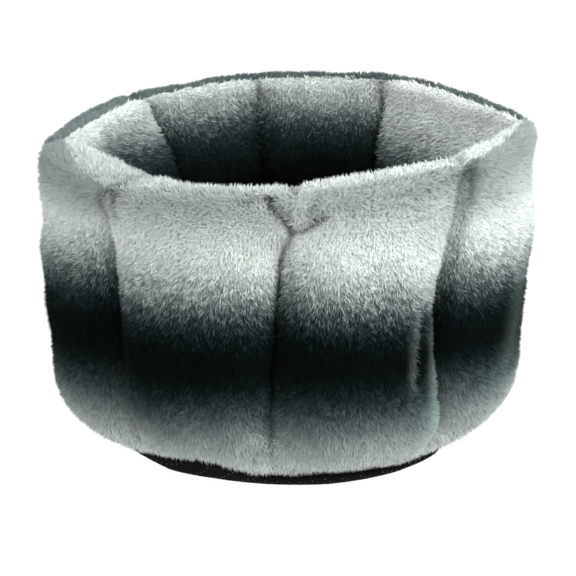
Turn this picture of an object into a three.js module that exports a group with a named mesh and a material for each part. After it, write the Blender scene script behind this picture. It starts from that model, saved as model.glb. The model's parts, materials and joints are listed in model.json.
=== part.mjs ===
// Round cat bed: a tall quilted tub of long-pile cloth on a non-slip base, with a loose cushion.
// Lengths are millimetres and angles are degrees. +Z is up and the origin is the middle of the
// underside. The front faces -Y, and bearings turn from the front towards +X.
//
// The wall is a ring of stuffed channels. Each channel has an outer panel, an inner panel that
// rolls over the rim, and a filling between them. In every upright seam a web of lining cloth
// is caught between the panels and ties the outer seam to the inner one.

import * as THREE from "three";

// Overall form, measured along the upright seams
const overallHeight = 277; // to the crown of the rim, before its own ups and downs
const channelCount = 8;
const rimRadius = 207;
const wallTaper = 14; // how far the wall draws in on its way down to the turn
const turnHeight = 105; // below this it rounds in towards the base
const hemInset = 63; // from the rim radius to the hem of the fur
const hemHeight = 15;
const turnSquareness = 2.5;
const turnFullness = 1.2;

// Rim roll and inner wall
const rimWidth = 34;
const rimSeamTurn = 40; // the rim seam lies this far up the outer side of the roll
const wallThickness = 43; // at the turn, seam to seam
const innerWaistDrop = 70; // below the roll the wall reaches its full thickness here
const floorInset = 4; // from the hem to the edge of the inner floor
const innerSquareness = 2.2;
const innerFullness = 1.4;

// Channels
const outerRise = 11; // how far a channel's crest stands outside its seams
const innerRise = 4;
const rimFadeLength = 78; // the crest fades out over this height under the rim
const hemFadeLength = 48; // and over this height above the hem
const innerFadeLength = 60;
const rimRoundness = 0.35; // 0 is a flat-sided rim, 1 is a round one
const innerRoundness = 0.6;
const crestPower = 3;
const crestRoot = 1.5;

// A hand-stuffed ring isn't even. Going round from the front seam, these are how far each seam
// strays from even spacing, in shares of the pitch, and how much higher and wider than usual
// the rim is there, in shares of its width.
const seamStrayShares = [0.03, 0.02, 0.09, 0.29, 0.22, 0.02, -0.04, 0];
const rimLiftShares = [0.2, 0.44, 0.3, 0.3, 0.22, 0, -0.17, -0.06];
const rimWidthShares = [-0.05, -0.15, -0.27, -0.1, 0, 0.05, 0.25, 0.15];

// It leans out, sags and draws in by turns too, by these lengths where a seam's share is 1.
const rimFlare = 8;
const rimFlareShares = [0, 0.12, 1, 0.5, 0.25, 0.4, 0.9, 0.4];
const flareDrop = 60; // below the roll, where the flare begins
const flareLength = 70;
const shoulderRise = 8; // a bulge of the wall just under the rim
const shoulderShares = [0, 0, 0, 0, 0, 0.25, 1, 0.12];
const shoulderDrop = 25;
const shoulderLength = 28;
const lowInset = 7; // how far the wall draws in below the turn
const lowInsetShares = [0, 0.6, 1, 0.45, 0, 0, 0, 0];
const lowInsetLength = 90;

// Each outer seam wanders sideways on its way down, by these angles, and comes back at the hem.
const seamDriftTurns = [-4, -3.5, 0, -1, 1.5, -1, 1, -2];
const driftStart = 0.1; // in shares of the way down
const driftEnd = 0.55;
const driftReturn = 0.7;

// The webs hold the seams in, so the cloth is drawn in along them as a soft groove.
const outerTuck = 10;
const innerTuck = 4;
const tuckWidthShare = 0.2; // of half a channel
const tuckPower = 1.4;
const tuckFadeLength = 30; // it fades out towards the hem and the floor
const tuckTopDrops = [62, 52, 74, 46, 42, 42, 42, 46]; // and from here below the crown of the rim
const innerTuckTopDrop = 90;
const tuckTopLength = 36;

// Cloths
const seamGap = 0.3; // between any two pieces that touch
const furThickness = 7; // backing with its pile pressed flat
const seamBite = 2; // how far below the face the web's edge is caught
const webThickness = 1.6;
const liningThickness = 2;
const baseClothThickness = 2;

// Base
const footInset = 18; // from the hem to the flat part of the underside
const baseFillThickness = 3.6; // filling that is left where the wall meets the base
const padClearance = 0.8; // round the edge of the pad and of the floor lining

// Loose cushion
const cushionThickness = 46;
const cushionClearance = 6; // to the edge of the floor
const cushionFurThickness = 6;
const cushionSeamShare = 0.45; // height of its edge seam, as a share of its thickness
const cushionPower = 3;
const cushionRoot = 2;
const cushionSeatShare = 0.7; // flat part of its underside, as a share of its radius

// Facets
const acrossSteps = 8; // over one channel
const rollSteps = 4; // over the rim roll
const wallSteps = 6; // down the inner wall
const heightSteps = rollSteps + wallSteps;
const roundSteps = 36;
const edgeSteps = 4;
const curveSamples = 60;

const pitch = 360 / channelCount;
const rollRadius = rimWidth / 2;
const rollHeight = overallHeight - rollRadius;
const turnRadius = rimRadius - wallTaper;
const innerWaistRadius = turnRadius - wallThickness;
const innerWaistHeight = rollHeight - innerWaistDrop;
const hemRadius = rimRadius - hemInset;
const floorRadius = hemRadius - floorInset;
const footRadius = hemRadius - footInset;
const floorHeight = hemHeight + 2 * furThickness + baseFillThickness;
const webClear = webThickness / 2 + seamGap;
const fillDepth = furThickness + seamGap;

const radians = THREE.MathUtils.degToRad;
const degrees = THREE.MathUtils.radToDeg;
const mix = THREE.MathUtils.lerp;
const smooth = (share) => THREE.MathUtils.smoothstep(share, 0, 1);
const evenShares = (steps) => Array.from({ length: steps + 1 }, (_, i) => i / steps);

const cloth = (color, roughness) =>
  new THREE.MeshStandardMaterial({ color, roughness, metalness: 0 });
const materials = {
  outerFur: cloth(0x6f7d7b, 0.95),
  innerFur: cloth(0x9da9a5, 0.95),
  lining: cloth(0x2b2f30, 0.9),
  baseCloth: cloth(0x161816, 0.8),
  filling: cloth(0xf1f1ec, 1),
  foam: cloth(0xe4e0d2, 0.9),
};

const bed = new THREE.Group();

function addMesh(name, geometry, material) {
  const mesh = new THREE.Mesh(geometry, material);
  mesh.name = name;
  bed.add(mesh);
}

// Seams and profiles

function seamBearing(seam) {
  const turns = Math.floor(seam / channelCount);
  const own = seam - turns * channelCount;
  const stray = seamStrayShares[own % seamStrayShares.length];
  return 360 * turns + pitch * (own + stray);
}

// The value of a seam, or of a place between two seams, from a list with one value per seam.
function betweenSeams(shares, place) {
  const seam = Math.floor(place);
  const shareOf = (index) => shares[(index % channelCount) % shares.length];
  return mix(shareOf(seam), shareOf(seam + 1), place - seam);
}

// A soft-cornered curve: 1 at share 0, falling to 0 at share 1 or -1.
function softCorner(share, squareness, fullness) {
  return Math.max(1 - Math.abs(share) ** squareness, 0) ** (1 / fullness);
}

// Even steps along a profile of radius (x) and height (y). Its normals point into the wall,
// which lies to the left of the way along where side is 1, and to the right where it is -1.
function stationsAlong(points, steps, side) {
  const curve = new THREE.SplineCurve(points);
  return evenShares(steps).map((share) => {
    const along = curve.getTangentAt(share);
    const normal = new THREE.Vector2(-along.y, along.x).multiplyScalar(side);
    return { point: curve.getPointAt(share), normal };
  });
}

function rollPoints(fromTurn, toTurn) {
  return evenShares(curveSamples).map((share) => {
    const turn = radians(mix(fromTurn, toTurn, share));
    const radius = rimRadius - rollRadius + rollRadius * Math.cos(turn);
    return new THREE.Vector2(radius, rollHeight + rollRadius * Math.sin(turn));
  });
}

// From a wall's upright part round to its edge at the base.
function turnPoints(radius, height, endRadius, endHeight, squareness, fullness) {
  return evenShares(curveSamples).map((share) => {
    const down = Math.sin((share * Math.PI) / 2);
    const out = softCorner(down, squareness, fullness);
    return new THREE.Vector2(mix(endRadius, radius, out), mix(height, endHeight, down));
  });
}

// Half the turn between the edges of the two panels at the rim seam, narrowest on their backs.
const seamHalfTurn = degrees(seamGap / (rollRadius - furThickness) / 2);

function outerStations() {
  const roll = rollPoints(rimSeamTurn - seamHalfTurn, 0);
  const turn = turnPoints(
    turnRadius, turnHeight, hemRadius, hemHeight, turnSquareness, turnFullness);
  return stationsAlong([...roll, ...turn], heightSteps, -1);
}

function innerStations() {
  const roll = rollPoints(rimSeamTurn + seamHalfTurn, 180);
  const upper = evenShares(curveSamples).map((share) => {
    const radius = mix(rimRadius - rimWidth, innerWaistRadius, smooth(share));
    return new THREE.Vector2(radius, mix(rollHeight, innerWaistHeight, share));
  });
  const turn = turnPoints(
    innerWaistRadius, innerWaistHeight, floorRadius, floorHeight, innerSquareness, innerFullness);
  const wall = stationsAlong([...upper, ...turn.slice(1)], wallSteps, 1);
  return [...stationsAlong(roll, rollSteps, 1), ...wall.slice(1)];
}

const profiles = { outer: outerStations(), inner: innerStations() };

// How far a channel's crest rises from its seams, and how round it is in plan, at a height.
function swell(face, height) {
  if (face === "outer") {
    const underRim = smooth((rollHeight - height) / rimFadeLength);
    const overHem = smooth((height - hemHeight) / hemFadeLength);
    return {
      rise: outerRise * underRim * overHem,
      roundness: mix(rimRoundness, 1, underRim),
    };
  }
  const underRim = smooth(Math.max(rollHeight - height, 0) / innerFadeLength);
  const overFloor = smooth((height - floorHeight) / innerFadeLength);
  return {
    rise: innerRise * underRim * overFloor,
    roundness: mix(1, mix(rimRoundness, innerRoundness, underRim), overFloor),
  };
}

// How far the cloth is drawn in at a height, deepest where the place is a seam.
function tuck(face, height, place) {
  const seam = Math.round(place);
  const [deep, bottom, drop] =
    face === "outer"
      ? [outerTuck, hemHeight, tuckTopDrops[seam % channelCount]]
      : [innerTuck, floorHeight, innerTuckTopDrop];
  const overBottom = smooth((height - bottom) / tuckFadeLength);
  const underRim = 1 - smooth((height - overallHeight + drop) / tuckTopLength);
  const offSeam = (2 * Math.abs(place - seam)) / tuckWidthShare;
  return deep * overBottom * underRim * Math.exp(-(offSeam ** tuckPower));
}

// How far the wall stands out from its plain form.
function leanOut(face, place, height) {
  const flared = smooth((height - rollHeight + flareDrop) / flareLength);
  const shoulder = Math.exp(-(((height - rollHeight + shoulderDrop) / shoulderLength) ** 2));
  const belowTurn = smooth((turnHeight - height) / lowInsetLength);
  const overHem = smooth((height - hemHeight) / tuckFadeLength);
  const drawnIn = face === "outer" ? belowTurn * overHem : 0;
  return (
    rimFlare * betweenSeams(rimFlareShares, place) * flared +
    shoulderRise * betweenSeams(shoulderShares, place) * shoulder -
    lowInset * betweenSeams(lowInsetShares, place) * drawnIn
  );
}

// A point of the wall. Place counts seams round the bed. Everything at a station moves alike,
// so that pieces that lie on each other there stay parallel.
function wallPoint(face, station, place, bearing, radius, height) {
  const level = profiles[face][station].point.y;
  const raised = smooth((level - floorHeight) / (rollHeight - floorHeight));
  const inward = face === "inner" ? Math.min(station / rollSteps, 1) : 0;
  const lift = rimWidth * betweenSeams(rimLiftShares, place) * raised;
  const wider = rimWidth * betweenSeams(rimWidthShares, place) * raised * inward;
  const down = station / heightSteps;
  const left = smooth((down - driftStart) / (driftEnd - driftStart));
  const returned = smooth((down - driftReturn) / (1 - driftReturn));
  const strayed = face === "outer" ? left - returned : 0;
  const drift = betweenSeams(seamDriftTurns, place) * strayed;
  const angle = radians(bearing + drift);
  const out = radius - wider + leanOut(face, place, level);
  return new THREE.Vector3(out * Math.sin(angle), -out * Math.cos(angle), height + lift);
}

// A point of a channel: across runs from -1 to 1 between its seams, and depth goes into the
// wall. The channel's sides stay clear of the web.
function channelPoint(channel, face, station, across, depth) {
  const place = channel + (1 + across) / 2;
  const { point, normal } = profiles[face][station];
  const { rise, roundness } = swell(face, point.y);
  const crown = rise * softCorner(across, crestPower, crestRoot);
  const crest = crown - tuck(face, point.y, place) - depth;
  const radius = point.x - crest * normal.x;
  const height = point.y - crest * normal.y;
  const half = (seamBearing(channel + 1) - seamBearing(channel)) / 2;
  const turned = across * (half - degrees(Math.asin(webClear / radius)));
  const flat = (radius * Math.cos(radians(half))) / Math.cos(radians(turned));
  const bearing = seamBearing(channel) + half + turned;
  return wallPoint(face, station, place, bearing, mix(flat, radius, roundness), height);
}

// Pieces of the wall

// Joins a row of rings into one closed body. A ring's first half runs along one face and its
// second half comes back along the other, so each end closes as a strip between the halves.
// Both faces are split along the same diagonals, so pieces laid face to face fit each other.
function loft(rings) {
  const size = rings[0].length;
  const half = size / 2;
  const index = [];
  const quad = (a, b, c, d) => index.push(a, b, c, a, c, d);
  for (let ring = 0; ring + 1 < rings.length; ring++) {
    for (let i = 0; i < size; i++) {
      const near = ring * size;
      const far = near + size;
      const next = (i + 1) % size;
      if (i < half) quad(near + i, far + i, far + next, near + next);
      else quad(far + i, far + next, near + next, near + i);
    }
  }
  const last = (rings.length - 1) * size;
  for (let i = 0; i + 1 < half; i++) {
    const back = size - 1 - i;
    quad(i, i + 1, back - 1, back);
    quad(last + i, last + back, last + back - 1, last + i + 1);
  }
  const positions = rings.flat().flatMap((point) => point.toArray());
  const geometry = new THREE.BufferGeometry();
  geometry.setAttribute("position", new THREE.Float32BufferAttribute(positions, 3));
  geometry.setIndex(index);
  geometry.computeVertexNormals();
  return geometry;
}

// Places across a channel, closer together near its seams.
const acrossShares = evenShares(acrossSteps).map((share) => Math.sin((share - 0.5) * Math.PI));
const backShares = [...acrossShares].reverse();

function channelRing(channel, faces, station, depths) {
  const [front, back] = faces;
  const [frontDepth, backDepth] = depths;
  return [
    ...acrossShares.map((across) => channelPoint(channel, front, station, across, frontDepth)),
    ...backShares.map((across) => channelPoint(channel, back, station, across, backDepth)),
  ];
}

function panel(channel, face) {
  const depths = face === "outer" ? [0, furThickness] : [furThickness, 0];
  const rings = [];
  for (let station = 0; station <= heightSteps; station++) {
    rings.push(channelRing(channel, [face, face], station, depths));
  }
  return loft(rings);
}

function filling(channel) {
  const rings = [];
  for (let station = 1; station <= heightSteps; station++) {
    rings.push(channelRing(channel, ["outer", "inner"], station, [fillDepth, fillDepth]));
  }
  return loft(rings);
}

// A web's sides bend where the panels end and the fillings begin, so that it lies along both.
function web(seam) {
  const bend = (face, station, side, bite) => {
    const { point, normal } = profiles[face][station];
    const depth = bite + tuck(face, point.y, seam);
    const radius = point.x + depth * normal.x;
    const height = point.y + depth * normal.y;
    const bearing = seamBearing(seam) + side * degrees(Math.asin(webThickness / 2 / radius));
    return wallPoint(face, station, seam, bearing, radius, height);
  };
  const rings = [];
  for (let station = 1; station <= heightSteps; station++) {
    const sideOf = (side) => [
      bend("outer", station, side, seamBite),
      bend("outer", station, side, furThickness),
      bend("inner", station, side, furThickness),
      bend("inner", station, side, seamBite),
    ];
    rings.push([...sideOf(1), ...sideOf(-1).reverse()]);
  }
  return loft(rings);
}

for (let channel = 0; channel < channelCount; channel++) {
  const number = channel + 1;
  addMesh(`outer_panel_${number}`, panel(channel, "outer"), materials.outerFur);
  addMesh(`inner_panel_${number}`, panel(channel, "inner"), materials.innerFur);
  addMesh(`wall_fill_${number}`, filling(channel), materials.filling);
  addMesh(`seam_web_${number}`, web(channel), materials.lining);
}

// Pieces of the base

function turned(outline) {
  const points = outline.map(([radius, height]) => new THREE.Vector2(radius, height));
  return new THREE.LatheGeometry(points, roundSteps).rotateX(Math.PI / 2);
}

// The underside from its middle out: flat to the foot radius, then up like the side of a dish.
function dish(radius, bottom, top) {
  const side = evenShares(edgeSteps).map((share) => {
    const angle = (share * Math.PI) / 2;
    const out = mix(footRadius, radius, Math.sin(angle));
    return [out, mix(top, bottom, Math.cos(angle))];
  });
  return [[0, bottom], ...side];
}

const hemSeat = hemHeight - seamGap;
const clothInside = dish(hemRadius - baseClothThickness, baseClothThickness, hemSeat);
const baseCloth = [...dish(hemRadius, 0, hemSeat), ...clothInside.reverse()];
addMesh("base_cloth", turned(baseCloth), materials.baseCloth);

const padRadius = floorRadius - padClearance;
const liningBottom = floorHeight - liningThickness;
const padTop = liningBottom - seamGap;
const basePad = [
  ...dish(padRadius, baseClothThickness + seamGap, hemHeight),
  [padRadius, padTop],
  [0, padTop],
];
addMesh("base_pad", turned(basePad), materials.foam);

const floorLining = [
  [0, liningBottom],
  [padRadius, liningBottom],
  [padRadius, floorHeight],
  [0, floorHeight],
];
addMesh("floor_lining", turned(floorLining), materials.lining);

// Loose cushion: two rounds of cloth sewn together at the edge, and their filling

const cushionRadius = floorRadius - cushionClearance;
const cushionBottom = floorHeight + seamGap;
const cushionSeam = cushionBottom + cushionSeamShare * cushionThickness;
const crownRise = (1 - cushionSeamShare) * cushionThickness;
const seatRise = cushionSeamShare * cushionThickness;

// From the middle out to the edge. Below the seam the rise is negative and the middle is flat.
function dome(radius, height, rise, flatShare) {
  const edge = evenShares(2 * edgeSteps).map((share) => {
    const out = mix(flatShare, 1, Math.sin((share * Math.PI) / 2));
    const over = (out - flatShare) / (1 - flatShare);
    return [radius * out, height + rise * softCorner(over, cushionPower, cushionRoot)];
  });
  return flatShare > 0 ? [[0, height + rise], ...edge] : edge;
}

const underTop = cushionSeam + seamGap / 2;
const underBottom = cushionSeam - seamGap / 2;
const crownInside = dome(
  cushionRadius - cushionFurThickness, underTop, crownRise - cushionFurThickness, 0);
const seatInside = dome(
  cushionRadius - liningThickness, underBottom, liningThickness - seatRise, cushionSeatShare);
const crown = dome(cushionRadius, underTop, crownRise, 0);
const seat = dome(cushionRadius, underBottom, -seatRise, cushionSeatShare);
addMesh("cushion_top", turned([...crownInside, ...crown.reverse()]), materials.innerFur);
addMesh("cushion_bottom", turned([...seat, ...seatInside.reverse()]), materials.lining);

const fillRadius = cushionRadius - cushionFurThickness - seamGap;
const fillCrown = dome(
  fillRadius, cushionSeam, crownRise - cushionFurThickness - seamGap, 0);
const fillSeat = dome(
  fillRadius, cushionSeam, liningThickness + seamGap - seatRise, cushionSeatShare);
const cushionFill = [...fillSeat, ...fillCrown.reverse().slice(1)];
addMesh("cushion_fill", turned(cushionFill), materials.filling);

// The bed stands with the middle of its whole outline over the origin.
const middle = new THREE.Box3().setFromObject(bed).getCenter(new THREE.Vector3());
bed.position.set(-middle.x, -middle.y, 0);

export default bed;
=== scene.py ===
# %% [markdown]
# A round plush cat bed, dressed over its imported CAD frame.
# The bed is a ring of stuffed channels in long-pile cloth that rolls over its own rim, on a dark
# non-slip base, with a loose cushion inside. The frame holds one plain closed solid for every
# soft piece, and this script sews a soft piece over each of them and grows its pile.
# All lengths are metres, +Z is up, the front seam faces -Y and +X is to the right.

# %% Load the frame
import json
import math

import bpy
import numpy as np
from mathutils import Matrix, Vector, noise

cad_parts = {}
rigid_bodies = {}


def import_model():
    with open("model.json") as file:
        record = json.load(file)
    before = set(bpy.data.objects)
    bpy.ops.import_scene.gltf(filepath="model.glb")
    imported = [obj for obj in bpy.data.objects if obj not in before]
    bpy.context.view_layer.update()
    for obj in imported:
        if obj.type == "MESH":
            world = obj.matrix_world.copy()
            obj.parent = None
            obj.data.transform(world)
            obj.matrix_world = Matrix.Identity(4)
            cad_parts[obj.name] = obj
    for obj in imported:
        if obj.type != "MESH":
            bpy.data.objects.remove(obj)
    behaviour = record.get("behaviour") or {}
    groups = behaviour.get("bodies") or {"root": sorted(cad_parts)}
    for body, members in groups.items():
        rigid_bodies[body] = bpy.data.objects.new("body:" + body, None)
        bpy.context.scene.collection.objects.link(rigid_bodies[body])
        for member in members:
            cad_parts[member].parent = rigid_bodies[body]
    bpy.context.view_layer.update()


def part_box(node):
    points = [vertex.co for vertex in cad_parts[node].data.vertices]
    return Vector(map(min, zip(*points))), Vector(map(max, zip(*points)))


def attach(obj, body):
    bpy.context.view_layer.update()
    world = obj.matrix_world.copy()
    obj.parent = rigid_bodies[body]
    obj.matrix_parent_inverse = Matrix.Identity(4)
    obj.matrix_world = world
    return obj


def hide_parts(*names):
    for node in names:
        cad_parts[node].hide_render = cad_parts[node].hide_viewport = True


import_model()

pad_low, pad_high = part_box("base_pad")
AXIS_X = (pad_low[0] + pad_high[0]) / 2
AXIS_Y = (pad_low[1] + pad_high[1]) / 2
print("frame loaded, the tub's axis stands at", round(AXIS_X, 5), round(AXIS_Y, 5))

# %% [markdown]
# The sizes come first. They are the sizes of the CAD solids, so that what is sewn here fits
# over them: a rim roll that is 34 mm wide, a wall that tapers down to a rounded turn, and a
# hem where the pile ends and the base cloth begins.

# %% Sizes of the tub
CHANNELS = 8
OVERALL_HEIGHT = 0.277
RIM_RADIUS = 0.207
RIM_WIDTH = 0.034
ROLL_RADIUS = RIM_WIDTH / 2
ROLL_HEIGHT = OVERALL_HEIGHT - ROLL_RADIUS
RIM_SEAM_FRONT = math.radians(40)
TURN_RADIUS = RIM_RADIUS - 0.014
TURN_HEIGHT = 0.105
HEM_RADIUS = RIM_RADIUS - 0.063
HEM_HEIGHT = 0.015
WAIST_RADIUS = TURN_RADIUS - 0.043
WAIST_HEIGHT = ROLL_HEIGHT - 0.070
FLOOR_RADIUS = HEM_RADIUS - 0.004
FLOOR_HEIGHT = 0.0326
FOOT_RADIUS = HEM_RADIUS - 0.018
OUTER_RISE = 0.011
INNER_RISE = 0.004
RIM_FADE, HEM_FADE, INNER_FADE = 0.078, 0.048, 0.060
RIM_ROUNDNESS, INNER_ROUNDNESS = 0.35, 0.6
# Squareness and fullness of three curves: a channel in plan, the wall's turn outside and inside.
CHANNEL_CURVE = 3, 1.5
OUTER_TURN_CURVE = 2.5, 1.2
INNER_TURN_CURVE = 2.2, 1.4

# Going round from the front seam: where each seam strays to, and how the rim rises and widens.
SEAM_STRAYS = np.array([0.03, 0.02, 0.09, 0.29, 0.22, 0.02, -0.04, 0])
RIM_LIFTS = np.array([0.11, 0.44, 0.32, 0.38, 0.28, 0.09, -0.14, -0.17])
RIM_WIDTHS = np.array([-0.05, -0.15, -0.27, -0.1, 0, 0.05, 0.25, 0.15])
# Each outer seam wanders sideways on its way up. These are degrees at these heights.
DRIFT_HEIGHTS = np.array([0.02, 0.05, 0.08, 0.12, 0.158, 0.185, 0.212, 0.230, 0.241, 0.252, 0.266])
SEAM_DRIFTS = np.array([
    (-5.3, -5.3, -5.2, -4.9, -4.5, -3.8, -3.3, -2.2, -0.1, 0, 0),
    (5, 2.5, -1, -4.3, -5.3, -4.9, -3.2, -1.9, -1.1, -0.5, 0),
    (1, 1, 1, 1, 0.8, 0.6, 0.3, 0.1, 0, 0, 0),
    (-1, -1, -1, -1, -0.8, -0.6, -0.3, -0.1, 0, 0, 0),
    (1.5, 1.5, 1.5, 1.4, 1.2, 0.8, 0.4, 0.1, 0, 0, 0),
    (-1, -1, -1, -1, -0.8, -0.6, -0.3, -0.1, 0, 0, 0),
    (1, 1, 1, 1, 0.8, 0.6, 0.3, 0.1, 0, 0, 0),
    (-2, -2, -2, -2, -2, -2.6, -3.6, -4.7, -5, -4.6, 0)])
INNER_DRIFT_HEIGHTS = np.array([0.20, 0.24, 0.285])
INNER_DRIFTS = np.zeros((CHANNELS, 3))
INNER_DRIFTS[3:6] = (3.4, 4.5, 6.7), (-1.5, -1.5, -1.5), (-9, -7, -2)
# How far the rim stands out at each seam, and the wall just under it, and how far the wall
# draws in low down.
RIM_FLARES = 0.001 * np.array([0, 1, 8, 4, 2, 3, 7, 3])
SHOULDERS = 0.001 * np.array([0, 0, 0, 0, 0, 2, 11, 1])
LOW_INSETS = 0.001 * np.array([0, -1, 6, 3, 0, 0, 0, 0])
FLARE_BOTTOM, FLARE_LENGTH = 0.20, 0.07
SHOULDER_HEIGHT, SHOULDER_LENGTH = 0.235, 0.028
LOW_TOP, LOW_LENGTH = 0.11, 0.09
# The hem isn't level: it rises by so many metres at these bearings, in degrees from the front.
HEM_BEARINGS = np.array([
    -180, -100, -62, -50, -44, -34, -25, -20, -15, -10, -3, 4, 10, 28, 37, 48, 60, 180])
HEM_RISES = 0.001 * np.array([2, 1, 1, 7, 13, 18, 23, 19, 8, 2, 4, 1, 5, 4, 1, 0, 0, 2])
# The rim seam lies low on the roll in front and climbs over the crown round the back.
RIM_SEAM_BEARINGS = np.radians([
    -180, -112, -60, -45, -36, -31, -17, -9, 0, 4, 8, 15, 60, 112, 180])
RIM_SEAM_TURNS = np.radians([113, 113, 44, 38, 46, 58, 62, 46, 44, 50, 46, 40, 42, 113, 113])
# The whole bed leans a little: its foot stands this far along X from its rim.
LEAN_X = -0.0035
# On the left the roll has slumped inwards: it is wider by these shares of the rim's width, in
# full once this share of the roll is passed.
SLUMP_BEARINGS = np.radians([-180, -110, -92, -75, -48, -40, -31, -22, 180])
SLUMP_SHARES = np.array([0, 0, 0.2, 0.38, 0.62, 0.55, 0.12, 0, 0])
SLUMP_START = 0.6

# %% Soft curves


def smooth(share):
    """Eases from 0 to 1 as share goes from 0 to 1."""
    share = np.clip(share, 0, 1)
    return share * share * (3 - 2 * share)


def soft_corner(share, squareness, fullness):
    """A soft-cornered curve: 1 at share 0, falling to 0 at share 1 or -1."""
    return np.maximum(1 - np.abs(share) ** squareness, 0) ** (1 / fullness)


def mix(start, end, share):
    return start + (end - start) * share


def unit(vectors):
    return vectors / np.maximum(np.linalg.norm(vectors, axis=-1, keepdims=True), 1e-12)


def wrapped(bearing):
    """The same bearing between -pi and pi."""
    return (bearing + math.pi) % (2 * math.pi) - math.pi


def wrapped_degrees(bearing):
    """The same bearing in degrees, between -180 and 180."""
    return (np.degrees(bearing) + 180) % 360 - 180


def waves(bearing, parts):
    """A sum of waves that run round the bed, each given by its count, size and phase."""
    return sum(size * np.sin(count * bearing + phase) for count, size, phase in parts)


def round_points(radius, height, bearing):
    """Points that stand round the tub's axis."""
    x = AXIS_X + radius * np.sin(bearing)
    y = AXIS_Y - radius * np.cos(bearing)
    return np.stack([x, y, height + 0 * x], axis=-1)


def round_way(points):
    """The level direction round the tub's axis at each point."""
    x, y = points[..., 0] - AXIS_X, points[..., 1] - AXIS_Y
    return unit(np.stack([-y, x, 0 * x], axis=-1))


def between_seams(values, place):
    """The value at a place between two seams, from a list with one value for each seam."""
    seam = np.floor(place).astype(int)
    near, far = values[seam % CHANNELS], values[(seam + 1) % CHANNELS]
    return mix(near, far, place - seam)


def seam_bearing(seam):
    """Radians from the front towards +X."""
    turns, own = divmod(seam, CHANNELS)
    return 2 * math.pi * (turns + (own + SEAM_STRAYS[own]) / CHANNELS)


def bearing_place(bearing):
    """The place between seams at a bearing."""
    seams = np.arange(-CHANNELS, 2 * CHANNELS + 1)
    return np.interp(bearing, [seam_bearing(int(seam)) for seam in seams], seams)


# %% [markdown]
# A cut through the wall shows two curves that meet in the rim seam: the outer cloth from the
# hem up to the seam, and the inner cloth on over the roll and down to the floor. Both are
# drawn once as a fine line of radius and height, and then read off at even steps.

# %% The wall's section
FINE = 400


def roll_line(start, end):
    """Part of the rim's roll, from one turn to another. Turn 0 is its outermost point."""
    turn = np.linspace(start, end, FINE)
    radius = RIM_RADIUS - ROLL_RADIUS + ROLL_RADIUS * np.cos(turn)
    return radius, ROLL_HEIGHT + ROLL_RADIUS * np.sin(turn)


def turn_line(radius, height, end_radius, end_height, squareness, fullness):
    """A wall that runs down and turns in with a soft corner."""
    down = np.sin(np.linspace(0, math.pi / 2, FINE))
    out = soft_corner(down, squareness, fullness)
    return mix(end_radius, radius, out), mix(height, end_height, down)


def section_line(face, seam_turn):
    """Radius and height of a face from the rim seam down."""
    if face == "outer":
        parts = [
            roll_line(seam_turn, 0),
            turn_line(TURN_RADIUS, TURN_HEIGHT, HEM_RADIUS, HEM_HEIGHT, *OUTER_TURN_CURVE),
        ]
    else:
        share = np.linspace(0, 1, FINE)
        upper_radius = mix(RIM_RADIUS - RIM_WIDTH, WAIST_RADIUS, smooth(share))
        parts = [
            roll_line(seam_turn, math.pi),
            (upper_radius, mix(ROLL_HEIGHT, WAIST_HEIGHT, share)),
            turn_line(WAIST_RADIUS, WAIST_HEIGHT, FLOOR_RADIUS, FLOOR_HEIGHT, *INNER_TURN_CURVE),
        ]
    return [np.concatenate(lines) for lines in zip(*parts)]


def hem_rise(bearing):
    return np.interp(wrapped_degrees(bearing), HEM_BEARINGS, HEM_RISES)


def section(face, steps, seam_turn, hem):
    """Even steps of a face: radius, height, the normal into the wall, and the share of the
    roll that is passed. The outer face runs up to the rim seam, the inner one on from it."""
    radius, height = section_line(face, seam_turn)
    length = np.concatenate([[0], np.cumsum(np.hypot(np.diff(radius), np.diff(height)))])
    fine = np.linspace(0, length[-1], 4 * FINE)
    radius, height = np.interp(fine, length, radius), np.interp(fine, length, height)
    along_radius, along_height = np.gradient(radius), np.gradient(height)
    size = np.hypot(along_radius, along_height)
    side = -1 if face == "outer" else 1
    normal_radius, normal_height = -side * along_height / size, side * along_radius / size
    turn = np.arctan2(height - ROLL_HEIGHT, radius - (RIM_RADIUS - ROLL_RADIUS))
    turn = np.where(height > ROLL_HEIGHT, turn, 0 if face == "outer" else math.pi)
    rolled = np.clip((turn - RIM_SEAM_FRONT) / (math.pi - RIM_SEAM_FRONT), 0, 1)
    lower = fine > fine[-1] / 2
    end = np.interp(-hem, -height[lower], fine[lower]) if face == "outer" else fine[-1]
    at = np.linspace(0, end, steps + 1)
    values = radius, height, normal_radius, normal_height, rolled
    even = [np.interp(at, fine, v) for v in values]
    return [v[::-1] for v in even] if face == "outer" else even


def sections(face, steps, bearings):
    """The section at each bearing. The rim seam climbs to the crown round the back."""
    turns = np.interp(wrapped(bearings), RIM_SEAM_BEARINGS, RIM_SEAM_TURNS)
    low_drifts = np.radians(between_seams(SEAM_DRIFTS[:, 0], bearing_place(bearings)))
    hems = HEM_HEIGHT + hem_rise(bearings + low_drifts)
    columns = [section(face, steps, turn, hem) for turn, hem in zip(turns, hems)]
    return [np.stack(values, axis=1) for values in zip(*columns)]


# %% [markdown]
# The stuffing presses each channel out between its two seams. A point of the wall is therefore
# given by its row in the section, its place across the channel from -1 to 1, and how deep it
# lies under the face of the CAD solid. The rim goes up and down and is wide and narrow by turns,
# because the ring is stuffed by hand.

# %% Points of the wall


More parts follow.
